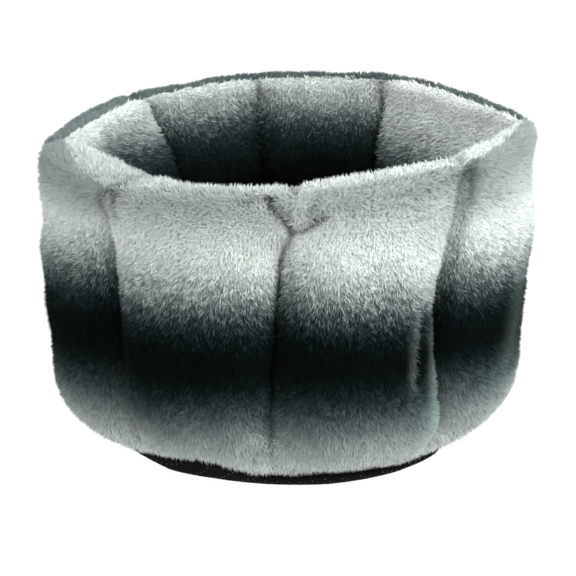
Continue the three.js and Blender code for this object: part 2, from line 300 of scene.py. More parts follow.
def swell(face, height):
    """How far a channel's middle stands out from its seams, and how round it is in plan."""
    if face == "outer":
        under_rim = smooth((ROLL_HEIGHT - height) / RIM_FADE)
        over_hem = smooth((height - HEM_HEIGHT) / HEM_FADE)
        return OUTER_RISE * under_rim * over_hem, mix(RIM_ROUNDNESS, 1, under_rim)
    under_rim = smooth((ROLL_HEIGHT - height) / INNER_FADE)
    over_floor = smooth((height - FLOOR_HEIGHT) / INNER_FADE)
    roundness = mix(1, mix(RIM_ROUNDNESS, INNER_ROUNDNESS, under_rim), over_floor)
    return INNER_RISE * under_rim * over_floor, roundness


def wall_points(face, rows, channel, across, depth):
    """Grid of points, one row for each step of the section and one column for each across."""
    point_radius, point_height, normal_radius, normal_height, rolled = rows
    rise, roundness = swell(face, point_height)
    crest = rise * soft_corner(across, *CHANNEL_CURVE) - depth
    radius = point_radius - crest * normal_radius
    height = point_height - crest * normal_height
    start, end = seam_bearing(channel), seam_bearing(channel + 1)
    half = (end - start) / 2
    turned = across * half
    radius = mix(radius * math.cos(half) / np.cos(turned), radius, roundness)
    place = channel + (1 + across) / 2 + 0 * point_height
    raised = smooth((height - FLOOR_HEIGHT) / (ROLL_HEIGHT - FLOOR_HEIGHT))
    around = wrapped(start + half + turned)
    slump = np.interp(around, SLUMP_BEARINGS, SLUMP_SHARES) * smooth(rolled / SLUMP_START)
    wider = between_seams(RIM_WIDTHS, place) * rolled + slump
    radius = radius - RIM_WIDTH * wider * raised
    height = height + RIM_WIDTH * between_seams(RIM_LIFTS, place) * raised
    flared = smooth((height - FLARE_BOTTOM) / FLARE_LENGTH)
    shoulder = np.exp(-(((height - SHOULDER_HEIGHT) / SHOULDER_LENGTH) ** 2))
    low = smooth((LOW_TOP - height) / LOW_LENGTH) if face == "outer" else 0
    radius = radius + between_seams(RIM_FLARES, place) * flared
    radius = radius + between_seams(SHOULDERS, place) * shoulder
    radius = radius - between_seams(LOW_INSETS, place) * low
    if face == "outer":
        levels, table = DRIFT_HEIGHTS, SEAM_DRIFTS
    else:
        levels, table = INNER_DRIFT_HEIGHTS, INNER_DRIFTS
    seams = channel, (channel + 1) % CHANNELS
    drifts = [np.interp(height, levels, table[seam]) for seam in seams]
    drift = mix(*drifts, (1 + across) / 2)
    bearing = start + half + turned + np.radians(drift)
    points = round_points(radius, height, bearing)
    points[..., 0] += LEAN_X * (1 - height / OVERALL_HEIGHT)
    return points


# %% [markdown]
# Cloth that is sewn to a seam on both sides puckers there, and stuffing makes it billow in
# between. Blender's cloth simulation gives both: the whole ring is one sheet, held along its
# seams, hem, rim seam and floor edge, blown up by a gentle pressure and cut a little too large.
# Only the result is kept. The distance that a point may move is capped, so the cloth stays in
# the room of the CAD solids.

# %% The ring of cloth before it is stuffed
ACROSS_STEPS = 20
OUTER_ROWS, INNER_ROWS = 34, 34
PILE_DEPTH = 0.0055
SEAM_TUCK, INNER_SEAM_TUCK = 0.0110, 0.0044
SEAM_SOFTNESS, SEAM_FALL = 0.19, 1.4
RIM_TUCK, RIM_TUCK_REACH = 0.0012, 0.035
# Above and below these heights a seam is no longer drawn in. The front seam ends under a fold
# of the rim, and low down under a tuft. On the right the rim is too narrow for a deep seam.
SEAM_TOPS = np.array([0.238, 0.272, 0.250, 0.272, 0.272, 0.272, 0.272, 0.258])
SEAM_BOTTOMS = np.array([0.060, 0.030, 0.030, 0.030, 0.030, 0.030, 0.030, 0.040])
# A seam opens by this share from so far under its top, over this length, and it is drawn in
# from so far under its bottom, over that length.
OPEN_SHARE, OPEN_START, OPEN_LENGTH = 0.9, 0.02, 0.025
CLOSE_START, CLOSE_LENGTH = 0.015, 0.03
across_shares = np.sin((np.linspace(0, 1, ACROSS_STEPS + 1) - 0.5) * math.pi)[None, :]


def nearer_seam(values, channel, across):
    """The value of the seam that lies nearer, from a list with one value for each seam."""
    return np.where(across < 0, values[channel], values[(channel + 1) % CHANNELS])


def tuck(face, channel, rows, across):
    """How deep the cloth lies: drawn in at its seams, and slightly at the rim seam."""
    height = rows[1]
    seam = np.exp(-(((1 - np.abs(across)) / SEAM_SOFTNESS) ** SEAM_FALL))
    top = nearer_seam(SEAM_TOPS, channel, across)
    open_seam = 1 - OPEN_SHARE * smooth((height - top + OPEN_START) / OPEN_LENGTH)
    from_rim_seam = np.linspace(0, 1, len(height))[:, None]
    if face == "outer":
        deepest = SEAM_TUCK
        low_end = nearer_seam(SEAM_BOTTOMS, channel, across) - CLOSE_START
        from_rim_seam = from_rim_seam[::-1]
    else:
        deepest = INNER_SEAM_TUCK
        low_end = FLOOR_HEIGHT
    upright = smooth((height - low_end) / CLOSE_LENGTH) * open_seam
    rim = np.exp(-((from_rim_seam / RIM_TUCK_REACH) ** 2))
    return PILE_DEPTH + deepest * seam * upright + RIM_TUCK * rim


def resting_cloth(face, channel, deeper=0.0):
    """A panel's cloth before it is stuffed, or a layer that lies so much deeper."""
    start, end = seam_bearing(channel), seam_bearing(channel + 1)
    bearings = mix(start, end, (1 + across_shares[0]) / 2)
    rows = sections(face, OUTER_ROWS if face == "outer" else INNER_ROWS, bearings)
    depth = tuck(face, channel, rows, across_shares) + deeper
    return wall_points(face, rows, channel, across_shares, depth)


resting = {
    (face, channel): resting_cloth(face, channel)
    for face in ("outer", "inner")
    for channel in range(CHANNELS)
}
print("resting cloth:", len(resting), "panels of", resting["outer", 0].shape[:2], "points")


# %% Make a mesh from a grid of points


def new_object(name, mesh):
    made = bpy.data.objects.new(name, mesh)
    bpy.context.scene.collection.objects.link(made)
    return made


def grid_faces(rows, columns, wrap=False):
    """Quads of a grid whose rows run up and whose columns run to the right, facing out."""
    row, column = np.meshgrid(np.arange(rows - 1), np.arange(columns - (not wrap)), indexing="ij")
    following = (column + 1) % columns
    corners = [
        row * columns + column,
        row * columns + following,
        (row + 1) * columns + following,
        (row + 1) * columns + column,
    ]
    return np.stack(corners, axis=-1).reshape(-1, 4)


def mesh_of(name, points, faces):
    mesh = bpy.data.meshes.new(name)
    corners = [list(map(int, face)) for face in faces]
    mesh.from_pydata(np.asarray(points).reshape(-1, 3).tolist(), [], corners)
    mesh.polygons.foreach_set("use_smooth", [True] * len(mesh.polygons))
    mesh.update()
    return mesh


def set_values(mesh, name, values):
    """Keeps one number or one vector for each vertex as a named attribute."""
    values = np.asarray(values, np.float32)
    vector = values.ndim == 2
    made = mesh.attributes.new(name, "FLOAT_VECTOR" if vector else "FLOAT", "POINT")
    made.data.foreach_set("vector" if vector else "value", values.ravel())


# %% Stuff the ring
PRESSURE = 5.0
MOST_SWELL = 0.002
SIM_FRAMES = 20
RIM_SEAM_HOLD = 0.6
EXTRA_CLOTH = 0.035


def ring_grid():
    """All panels as one grid: hem, up the outside, over the rim and down to the floor."""
    columns = []
    for channel in range(CHANNELS):
        outer, inner = resting["outer", channel], resting["inner", channel]
        columns.append(np.concatenate([outer, inner[1:]])[:, :-1])
    return np.concatenate(columns, axis=1)


def stuffed(ring):
    """The ring of cloth after its simulation, as a grid of the same size."""
    rows, columns = ring.shape[:2]
    cloth = new_object("wall_cloth", mesh_of("wall_cloth", ring, grid_faces(rows, columns, True)))
    hold = np.zeros((rows, columns))
    hold[:, ::ACROSS_STEPS] = 1
    hold[0], hold[-1] = 1, 1
    hold[OUTER_ROWS] = RIM_SEAM_HOLD
    pins = cloth.vertex_groups.new(name="held")
    for index, weight in enumerate(hold.ravel()):
        if weight:
            pins.add([index], float(weight), "REPLACE")
    modifier = cloth.modifiers.new("stuffing", "CLOTH")
    settings = modifier.settings
    settings.quality = 4
    settings.mass = 0.2
    settings.tension_stiffness = settings.compression_stiffness = 12
    settings.shear_stiffness = 4
    settings.bending_stiffness = 0.3
    settings.use_pressure = True
    settings.uniform_pressure_force = PRESSURE
    settings.shrink_min = -EXTRA_CLOTH
    settings.vertex_group_mass = pins.name
    settings.effector_weights.gravity = 0
    modifier.collision_settings.use_collision = False
    modifier.point_cache.frame_start = 1
    modifier.point_cache.frame_end = SIM_FRAMES
    scene = bpy.context.scene
    for step in range(1, SIM_FRAMES + 1):
        scene.frame_set(step)
    evaluated = cloth.evaluated_get(bpy.context.evaluated_depsgraph_get())
    points = np.zeros(rows * columns * 3)
    evaluated.data.vertices.foreach_get("co", points)
    scene.frame_set(1)
    bpy.data.objects.remove(cloth)
    moved = points.reshape(rows, columns, 3) - ring
    size = np.linalg.norm(moved, axis=-1, keepdims=True)
    capped = MOST_SWELL * np.tanh(size / MOST_SWELL) / np.maximum(size, 1e-9)
    print("stuffed, before the cap by up to", round(float(size.max()) * 1000, 1), "mm")
    return ring + moved * capped


slack_ring = ring_grid()
full_ring = stuffed(slack_ring)

# %% [markdown]
# Where too much cloth is caught in a seam it folds. The folds are listed: each is a line seen from
# the front, with a depth and a half width. The clearest is at the top of the front seam, where two
# folds part from the seam like the arms of a Y and a tab of the rim hangs between them. A fold with
# a negative depth is a bulge, and a deep one also parts the pile and darkens it with painted shade.

# %% Cut the ring into its panels again
SEAM_GAP, SEAM_GAP_FADE = 0.0004, 0.01
FINER = 2
# The stuffing is uneven: size, strength and seed of its lumps. They fade out at this share of
# a half channel from its seams, and so many rows from its ends, as the folds do there.
LUMPS = (0.045, 0.0034, 3.1), (0.018, 0.0014, 7.7)
LUMP_FADE, LUMP_END_ROWS, FOLD_END_ROWS = 0.15, 8, 3
# A fold this deep parts the pile in full, and the same measure darkens the pile there with painted
# shade.
DEEP_FOLD = 0.005
CREASES = (
    (0.0085, 0.0033, ((0.0040, 0.2395), (0, 0.2474), (-0.0045, 0.2544), (-0.0130, 0.2620),
                      (-0.0153, 0.2740))),
    (0.0080, 0.0032, ((0.0045, 0.2397), (0.0136, 0.2426), (0.0230, 0.2491), (0.0290, 0.2530))),
    (0.0030, 0.0022, ((0.0136, 0.2510), (0.0200, 0.2590), (0.0247, 0.2690))),
    (0.0025, 0.0022, ((-0.0170, 0.2650), (-0.0290, 0.2660), (-0.0370, 0.2620))),
    (-0.0022, 0.0080, ((0.0060, 0.2560), (0.0040, 0.2720))),
    (0.0035, 0.0030, ((-0.0140, 0.0620), (-0.0290, 0.0670))),
    (0.0030, 0.0024, ((-0.1450, 0.2660), (-0.1420, 0.2544), (-0.1382, 0.2380))),
    (0.0030, 0.0030, ((-0.1180, 0.2700), (-0.1320, 0.2640), (-0.1390, 0.2560))),
    (0.0035, 0.0040, ((0.1490, 0.2700), (0.1490, 0.2480))),
)
fine_steps = np.arange(FINER * ACROSS_STEPS + 1) / FINER
fine_across = np.interp(fine_steps, np.arange(ACROSS_STEPS + 1), across_shares[0])[None, :]


def grid_normals(grid):
    """Normals that point out of the wall, from the rows and columns of a panel's grid."""
    return unit(np.cross(np.gradient(grid, axis=1), np.gradient(grid, axis=0)))


def lumps(points, size, strength, seed):
    """A slow unevenness in the stuffing, from smooth noise."""
    shift = Vector((seed, 2 * seed, 3 * seed))
    values = [noise.noise(Vector(p) / size + shift) for p in points.reshape(-1, 3)]
    return strength * np.array(values).reshape(points.shape[:-1])


def finer(grid):
    """The same grid with FINER times as many rows and columns."""
    for axis in (0, 1):
        count = grid.shape[axis]
        at = np.linspace(0, count - 1, FINER * (count - 1) + 1)
        before = np.minimum(at.astype(int), count - 2)
        share = (at - before).reshape([-1 if a == axis else 1 for a in range(grid.ndim)])
        grid = mix(np.take(grid, before, axis), np.take(grid, before + 1, axis), share)
    return grid


def line_distance(grid, line):
    """Distance, seen from the front, from each point of a grid to a line of (x, z) points."""
    spots = grid[..., [0, 2]]
    nearest = np.full(spots.shape[:2], 1.0)
    for start, end in zip(np.array(line[:-1]), np.array(line[1:])):
        along = end - start
        share = np.clip(((spots - start) @ along) / (along @ along), 0, 1)
        off = spots - start - share[..., None] * along
        nearest = np.minimum(nearest, np.linalg.norm(off, axis=-1))
    return np.where(grid[..., 1] < 0, nearest, 1.0)


def creased(grid):
    """How far the folds of the cloth move its points out, and how much they part the pile and
    darken it with painted shade.
    """
    moved, parted_and_shaded = np.zeros(grid.shape[:2]), np.zeros(grid.shape[:2])
    for depth, width, line in CREASES:
        near = np.exp(-((line_distance(grid, line) / width) ** 2))
        moved -= depth * near
        parted_and_shaded = np.maximum(parted_and_shaded, near * np.sign(depth) * min(1, abs(depth) / DEEP_FOLD))
    return moved, parted_and_shaded


def cut_panel(ring, face, channel):
    """A panel's grid of points with its lumps and folds, and a fine gap along its seams."""
    first = channel * ACROSS_STEPS
    columns = np.arange(first, first + ACROSS_STEPS + 1) % ring.shape[1]
    rows = slice(0, OUTER_ROWS + 1) if face == "outer" else slice(OUTER_ROWS, None)
    grid = finer(ring[rows][:, columns])
    normals = grid_normals(grid)
    bump = sum(lumps(grid, *kind) for kind in LUMPS)
    fade = smooth((1 - np.abs(fine_across)) / LUMP_FADE)
    ends = np.minimum(np.arange(len(grid)), np.arange(len(grid))[::-1])[:, None]
    bump = bump * fade * smooth(ends / LUMP_END_ROWS)
    if face == "outer":
        bump = bump + creased(grid)[0] * smooth(ends / FOLD_END_ROWS)
    way = round_way(grid)
    sidewards = (normals * way).sum(axis=-1) * (1 - fade)
    grid = grid + (normals - sidewards[..., None] * way) * bump[..., None]
    across = unit(np.gradient(grid, axis=1))
    for side, seam in ((0, channel), (-1, (channel + 1) % CHANNELS)):
        shut = 0
        if face == "outer":
            shut = smooth((grid[:, side, 2:] - SEAM_TOPS[seam]) / SEAM_GAP_FADE)
        grid[:, side] += (1 + 2 * side) * across[:, side] * SEAM_GAP * (1 - shut)
    return grid


panels = {key: cut_panel(full_ring, *key) for key in resting}
slack_panels = {key: cut_panel(slack_ring, *key) for key in resting}
print("panels cut:", len(panels))

# %% [markdown]
# Each panel is a backing cloth about 2 mm thick that carries the pile. The filling of a
# channel takes the form that the cloth had before it was blown up, so it stays inside every
# pucker and lies close to both of its backings. In each upright seam a web of lining ties the
# outer seam to the inner one, so that the seams stay in while the channels bulge. All of these
# are grids with a front and a back, closed round the edge.

# %% Close a front and a back grid into one body


def closed_body(name, front, back):
    """A closed body between two grids of the same size. The front faces out."""
    rows, columns = front.shape[:2]
    count = rows * columns
    faces = [*grid_faces(rows, columns), *(grid_faces(rows, columns)[:, ::-1] + count)]
    edge = [
        *[(0, c) for c in range(columns - 1)],
        *[(r, columns - 1) for r in range(rows - 1)],
        *[(rows - 1, c) for c in range(columns - 1, 0, -1)],
        *[(r, 0) for r in range(rows - 1, 0, -1)],
    ]
    rim = [r * columns + c for r, c in edge]
    for here, there in zip(rim, rim[1:] + rim[:1]):
        faces.append((there, here, here + count, there + count))
    points = np.concatenate([front.reshape(-1, 3), back.reshape(-1, 3)])
    return new_object(name, mesh_of(name, points, faces))


# %% Sew the panels, fillings and webs
BACKING = 0.0018
# A filling stops so many columns short of its seams and rows short of the rim seam.
FILL_DEPTH, FILL_EDGE, FILL_TOP = 0.0034, 3, 2
# A web starts at this share of the way down from the rim seam, and leaves this margin across.
WEB_HALF, WEB_START, WEB_MARGIN = 0.0008, 0.1, 0.05
WEB_ROWS, WEB_COLUMNS = 24, 5


def inset(grid, depth):
    return grid - grid_normals(grid) * depth


def filling_side(face, channel):
    """One face of a filling. It lies under the slack cloth, straight into the wall from it."""
    inwards = resting_cloth(face, channel, deeper=FILL_DEPTH) - resting[face, channel]
    return (slack_panels[face, channel] + finer(inwards))[:, FILL_EDGE:-FILL_EDGE]


def web_edge(line):
    """The edge of a web, from the points of a seam that runs down from the rim seam."""
    at = np.linspace(WEB_START, 1, WEB_ROWS + 1)
    rows = np.linspace(0, 1, len(line))
    return np.stack([np.interp(at, rows, part) for part in line.T], axis=-1)


def web_side(seam, side):
    """One face of a web: its rows climb the seam and its columns cross the wall."""
    outer_edge = web_edge(panels["outer", seam][::-1, 0])
    inner_edge = web_edge(panels["inner", seam][:, 0])
    shares = np.linspace(WEB_MARGIN, 1 - WEB_MARGIN, WEB_COLUMNS)[None, :, None]
    grid = mix(outer_edge[:, None], inner_edge[:, None], shares)
    return (grid + side * WEB_HALF * round_way(outer_edge)[:, None])[::-1]


channel_pieces = []
for channel in range(CHANNELS):
    number = channel + 1
    for face in ("outer", "inner"):
        grid = panels[face, channel]
        skin = closed_body(f"{face}_cloth_{number}", grid, inset(grid, BACKING))
        channel_pieces.append((skin, f"{face}_panel_{number}", face))
    outer_side = filling_side("outer", channel)[:-FILL_TOP]
    inner_side = filling_side("inner", channel)[FILL_TOP:]
    filling = closed_body(f"stuffing_{number}", outer_side, inner_side[::-1])
    channel_pieces.append((filling, f"wall_fill_{number}", "filling"))
    web = closed_body(f"web_{number}", web_side(channel, -1), web_side(channel, 1))
    channel_pieces.append((web, f"seam_web_{number}", "web"))
print("sewn:", len(channel_pieces), "pieces of the wall")

# %% [markdown]
# The base is a dish of black non-slip cloth, turned up to the hem, over a foam pad. A sheet of
# lining covers the pad inside. These are round pieces, so each is one outline turned round the
# tub's axis. The cloth's edge waves a little where it is gathered into the hem.

# %% Turn an outline round the axis
ROUND_STEPS = 96
FLAT_STEPS, DISH_STEPS = 5, 10


def turned(name, outline, wave=None):
    """A closed round body. The outline runs from the axis out and back to the axis."""
    outline = np.array(outline, float)
    bearings = np.linspace(0, 2 * math.pi, ROUND_STEPS, endpoint=False)
    inner = outline[1:-1]
    radius, height = inner[:, :1], inner[:, 1:] + 0 * bearings
    if wave is not None:
        radius, height = wave(radius, height, bearings[None, :])
    rings = round_points(radius, height, bearings)
    first = len(inner) * ROUND_STEPS
    poles = [[AXIS_X, AXIS_Y, outline[0, 1]], [AXIS_X, AXIS_Y, outline[-1, 1]]]
    points = np.concatenate([rings.reshape(-1, 3), poles])
    faces = [list(f) for f in grid_faces(len(inner), ROUND_STEPS, True)]
    last = (len(inner) - 1) * ROUND_STEPS
    for step in range(ROUND_STEPS):
        following = (step + 1) % ROUND_STEPS
        faces.append([first, following, step])
        faces.append([first + 1, last + step, last + following])
    return new_object(name, mesh_of(name, points, faces))


def dish_line(radius, bottom, top):
    """The underside from the axis out: flat, then up like the side of a dish."""
    angle = np.linspace(0, math.pi / 2, DISH_STEPS + 1)
    out = mix(FOOT_RADIUS, radius, np.sin(angle))
    flat = [(r, bottom) for r in np.linspace(0, FOOT_RADIUS, FLAT_STEPS, endpoint=False)]
    return flat + list(zip(out, mix(top, bottom, np.cos(angle))))


# %% The base
BASE_THICKNESS = 0.0018
LINING_THICKNESS = 0.002
PAD_SLACK = 0.0008
LAYER_GAP = 0.0003
PAD_CORNER = 0.003
# The cloth is gathered into its hem in waves of this height, and the hem wavers slowly.
GATHER_HEIGHT, GATHERS = 0.0006, ((44, 1, 0), (17, 0.6, 1.0))
WAVER_HEIGHT, WAVERS = 0.0010, ((3, 1, 0.8), (5, 0.6, 0))
# The flat part of the base isn't quite round: it draws in by so much at these bearings.
FOOT_BEARINGS = np.array([-180, -110, -85, -59, -48, -31, -14, 3, 14, 29, 49, 72, 110, 180])
FOOT_INSETS = 0.001 * np.array([0, 0, 0, 6, 3, 9, 10, 9, 7, 8, 8, 0, 0, 0])
# On the right the base meets the hem so much further in.
HEM_TUCK, HEM_TUCK_BEARINGS, HEM_TUCK_SHARES = 0.008, (45, 62, 85, 110), (0, 1, 1, 0)
# Radius from which each of these sets in, and the length over which it grows to its full size.
FOOT_INSET_START, FOOT_INSET_LENGTH = 0.06, 0.05
LOW_INSET_START, LOW_INSET_LENGTH = 0.08, 0.04
PAD_LIFT_START, PAD_LIFT_LENGTH, PAD_LIFT_SHARE = 0.08, 0.05, 0.9
hem_seat = HEM_HEIGHT - LAYER_GAP


def foot_inset(radius, height, bearing):
    """How much the foot draws in. It fades out towards the middle and towards the hem."""
    most = np.interp(wrapped_degrees(bearing), FOOT_BEARINGS, FOOT_INSETS)
    off_middle = smooth((radius - FOOT_INSET_START) / FOOT_INSET_LENGTH)
    return most * off_middle * (1 - smooth(height / hem_seat))


def low_inset(radius, bearing):
    """How much the base follows the wall where that draws in low down."""
    most = between_seams(LOW_INSETS, bearing_place(bearing))
    return most * smooth((radius - LOW_INSET_START) / LOW_INSET_LENGTH)


def hem_tuck(bearing):
    """How much further in the base meets the hem on the right."""
    share = np.interp(wrapped_degrees(bearing), HEM_TUCK_BEARINGS, HEM_TUCK_SHARES)
    return HEM_TUCK * share


def gathered(radius, height, bearing):
    """Small waves near the hem, where the cloth is gathered into the seam and follows it up."""
    near_hem = smooth(height / hem_seat)
    rise = hem_rise(bearing)
    line_radius, line_height = section_line("outer", RIM_SEAM_FRONT)
    lower = line_height < TURN_HEIGHT
    met = np.interp(-HEM_HEIGHT - rise, -line_height[lower], line_radius[lower]) - HEM_RADIUS
    waving = GATHER_HEIGHT * waves(bearing, GATHERS) + WAVER_HEIGHT * waves(bearing, WAVERS)
    drawn = met - hem_tuck(bearing) + waving
    inset = low_inset(radius, bearing) + foot_inset(radius, height, bearing)
    return radius - inset + near_hem * drawn, height + near_hem * rise


base_inside = dish_line(HEM_RADIUS - BASE_THICKNESS, BASE_THICKNESS, hem_seat)
base_outline = dish_line(HEM_RADIUS, 0.0, hem_seat) + base_inside[::-1]
base_cloth = turned("underside_cloth", base_outline, gathered)
pad_radius = FLOOR_RADIUS - PAD_SLACK
lining_bottom = FLOOR_HEIGHT - LINING_THICKNESS
pad_top = lining_bottom - LAYER_GAP
pad_side = pad_radius - 0.001
pad_outline = dish_line(pad_side, BASE_THICKNESS + 2 * LAYER_GAP, HEM_HEIGHT) + [
    (pad_side, pad_top - PAD_CORNER),
    (pad_side - PAD_CORNER, pad_top),
    (pad_radius / 2, pad_top),
    (0, pad_top),
]


def drawn_in(radius, height, bearing):
    """The pad gives way where the wall draws in over it."""
    lifted = PAD_LIFT_SHARE * hem_rise(bearing) + hem_tuck(bearing)
    lifted = lifted * smooth((radius - PAD_LIFT_START) / PAD_LIFT_LENGTH)
    drawn = low_inset(radius, bearing) + lifted + foot_inset(radius, height, bearing)
    return radius - drawn, height


base_foam = turned("base_foam", pad_outline, drawn_in)
lining_corner = pad_radius - 0.0006
lining_outline = [
    (0, lining_bottom),
    (pad_radius / 2, lining_bottom),
    (lining_corner, lining_bottom),
    (pad_radius, lining_bottom + LINING_THICKNESS / 2),
    (lining_corner, FLOOR_HEIGHT),
    (pad_radius / 2, FLOOR_HEIGHT),
    (0, FLOOR_HEIGHT),
]
floor_cloth = turned("floor_cloth", lining_outline)
print("base made, hem at", HEM_RADIUS, "m")

# %% [markdown]
# The loose cushion is two rounds of cloth, plush above and lining below, sewn together at the
# edge and filled. It lies deep in the bed, out of the picture, so its puckers aren't simulated
# but given by a formula: short folds that run in from the edge seam.

# %% The cushion
CUSHION_RADIUS = FLOOR_RADIUS - 0.006
CUSHION_BOTTOM = FLOOR_HEIGHT + 0.0003
CUSHION_THICKNESS = 0.046
CUSHION_SEAM = CUSHION_BOTTOM + 0.45 * CUSHION_THICKNESS
CUSHION_STEPS = 14
CUSHION_CURVE = 3, 2
CROWN_RISE, SEAT_RISE = 0.55 * CUSHION_THICKNESS, -0.45 * CUSHION_THICKNESS
# Share of the radius that is flat, above and below.
CROWN_FLAT, SEAT_FLAT = 0, 0.7
# How deep the plush lies under its pile, the lining under the CAD face, and the filling in both.
PLUSH_DEPTH, UNDER_DEPTH = 0.0045, 0.0006
PLUSH_THICKNESS, UNDER_THICKNESS = 0.0015, 0.0014
FILL_CROWN_DEPTH, FILL_SEAT_DEPTH = 0.0072, 0.0026
CLOTH_GAP = 0.0003
# Puckers set in at this share of the radius. They go this far up and down, and draw it in.
PUCKERS, PUCKER_START, PUCKER_LENGTH = 38, 0.72, 0.25
PUCKER_HEIGHT, PUCKER_DRAW, FLAT_SEAM = 0.0010, 0.006, 0.006
DENT_HEIGHT, DENTS = 0.0012, ((2, 1, 0.7), (5, 0.5, 2))


def cushion_side(rise, flat_share, depth):
    """Radius and height of points from the seam in to the middle."""
    out = np.sin(np.linspace(math.pi / 2, 0, CUSHION_STEPS + 1))
    over = np.clip((out - flat_share) / (1 - flat_share), 0, 1)
    inner_rise = rise - math.copysign(depth, rise)
    height = CUSHION_SEAM + inner_rise * soft_corner(over, *CUSHION_CURVE)
    return np.stack([(CUSHION_RADIUS - depth) * out, height], -1)


def cushion_body(name, rise, flat_share, depth, thickness):
    """One round of cloth of the cushion, domed and closed."""
    outside = cushion_side(rise, flat_share, depth)
    inside = cushion_side(rise, flat_share, depth + thickness)
    for side in (outside, inside):
        side[:, 1] += math.copysign(CLOTH_GAP, rise)
    lower, upper = (inside, outside) if rise > 0 else (outside, inside)
    return turned(name, [*lower[::-1], *upper], puckered)


def puckered(radius, height, bearing):
    """Short folds that run in from the edge seam and die out towards the middle."""
    near_seam = smooth((radius / CUSHION_RADIUS - PUCKER_START) / PUCKER_LENGTH)
    folds = np.sin(PUCKERS * bearing + 2 * np.sin(3 * bearing)) + 0.5 * np.sin(61 * bearing)
    off_seam = np.clip((height - CUSHION_SEAM) / FLAT_SEAM, -1, 1)
    moved = PUCKER_HEIGHT * folds * near_seam + DENT_HEIGHT * waves(bearing, DENTS)
    drawn = PUCKER_DRAW * near_seam * (1 + np.sin(PUCKERS * bearing)) / 2
    return radius * (1 - drawn), height + off_seam * moved


cushion_top = cushion_body(
    "cushion_plush", CROWN_RISE, CROWN_FLAT, PLUSH_DEPTH, PLUSH_THICKNESS)
cushion_under = cushion_body(
    "cushion_lining", SEAT_RISE, SEAT_FLAT, UNDER_DEPTH, UNDER_THICKNESS)
fill_top = cushion_side(CROWN_RISE, CROWN_FLAT, FILL_CROWN_DEPTH)
fill_under = cushion_side(SEAT_RISE, SEAT_FLAT, FILL_SEAT_DEPTH)
cushion_stuffing = turned("cushion_stuffing", [*fill_under[::-1], *fill_top[1:]])
print("cushion made, seam at", round(CUSHION_SEAM, 4), "m")

# %% [markdown]
# The pile is real geometry, so it keeps its silhouette. A hair at true width would need many
# millions, and at this distance one sees small locks instead: a tapered, bent strand of four faces
# stands for a lock of hairs. Geometry Nodes scatter the strands over a panel, lay them along the
# nap, draw them together in clumps and bend them.

# %% One strand
BEND_WIDTHS = 1.1
BEND_PLACE = 0.45


def make_strand():
    """A closed, bent sliver of unit length and width: a root, two side points and a tip."""
    bends = [(BEND_WIDTHS, side, BEND_PLACE) for side in (0.5, -0.5)]
    points = [(0, 0, 0), *bends, (0, 0, 1)]
    faces = [(0, 1, 2), (1, 3, 2), (0, 3, 1), (0, 2, 3)]
    mesh = mesh_of("strand", points, faces)
    set_values(mesh, "along", [p[2] for p in points])
    around = mesh.uv_layers.new(name="around")
    for polygon in mesh.polygons:
        places = [mesh.loops[loop].vertex_index for loop in polygon.loop_indices]
        sides = [0.5 if vertex in (0, 3) else (0.9, 0.1)[vertex - 1] for vertex in places]
        for loop, vertex, side in zip(polygon.loop_indices, places, sides):
            around.data[loop].uv = ((polygon.index + side) / len(faces), points[vertex][2])
    return new_object("strand", mesh)


strand = make_strand()

# %% Small helpers for node trees


def add_node(tree, kind, inputs=(), **settings):
    """A node with its settings. Inputs are sockets to link or plain values, by place or name."""
    node = tree.nodes.new(kind)
    for name, value in settings.items():
        setattr(node, name, value)
    pairs = inputs.items() if isinstance(inputs, dict) else enumerate(inputs)
    for key, value in pairs:
        if isinstance(value, bpy.types.NodeSocket):
            tree.links.new(value, node.inputs[key])
        elif value is not None:
            node.inputs[key].default_value = value
    return node


def do_math(tree, operation, *inputs):
    return add_node(tree, "ShaderNodeMath", inputs, operation=operation).outputs[0]


def do_vectors(tree, operation, *inputs):
    """Vector maths. A scale comes as the last input."""
    node = add_node(tree, "ShaderNodeVectorMath", operation=operation)
    for place, value in enumerate(inputs):
        socket = node.inputs["Scale"] if operation == "SCALE" and place == 1 else node.inputs[place]
        if isinstance(value, bpy.types.NodeSocket):
            tree.links.new(value, socket)
        else:
            socket.default_value = value
    return node.outputs["Value"] if operation in ("LENGTH", "DOT_PRODUCT") else node.outputs[0]


def add_sockets(tree, direction, sockets):
    for name, kind in sockets.items():
        tree.interface.new_socket(name=name, in_out=direction, socket_type=kind)


def named(tree, name, kind="FLOAT"):
    node = add_node(tree, "GeometryNodeInputNamedAttribute", [name], data_type=kind)
    return node.outputs["Attribute"]


def stored(tree, geometry, name, value, kind="FLOAT", domain="POINT"):
    node = add_node(tree, "GeometryNodeStoreNamedAttribute", data_type=kind, domain=domain)
    node.inputs["Name"].default_value = name
    tree.links.new(geometry, node.inputs["Geometry"])
    tree.links.new(value, node.inputs["Value"])
    return node.outputs["Geometry"]


# %% The tree that grows the pile
# Each strand's width and length differ by these factors. Its colours take up this share of its
# square cell in the UV map, with this margin.
WIDTH_RANGE, LENGTH_RANGE = (0.6, 1.4), (0.7, 1.25)
CELL_SHARE, CELL_MARGIN = 0.7, 0.15
NOISE_REACH = 3.0
PILE_INPUTS = {
    "Cloth": "NodeSocketGeometry",
    "Strand": "NodeSocketObject",
    "Finish": "NodeSocketMaterial",
    "Density": "NodeSocketFloat",
    "Length": "NodeSocketFloat",
    "Width": "NodeSocketFloat",
    "Stand": "NodeSocketFloat",
    "Wave": "NodeSocketFloat",
    "Wave Size": "NodeSocketFloat",
    "Stray": "NodeSocketFloat",
    "Lock Size": "NodeSocketFloat",
    "Lock Pull": "NodeSocketFloat",
    "Seed": "NodeSocketInt",
}


def between(tree, low, high, seed):
    """A random number for each point."""
    node = add_node(tree, "FunctionNodeRandomValue", data_type="FLOAT")
    node.inputs[2].default_value, node.inputs[3].default_value = low, high
    node.inputs["Seed"].default_value = seed
    return node.outputs[1]


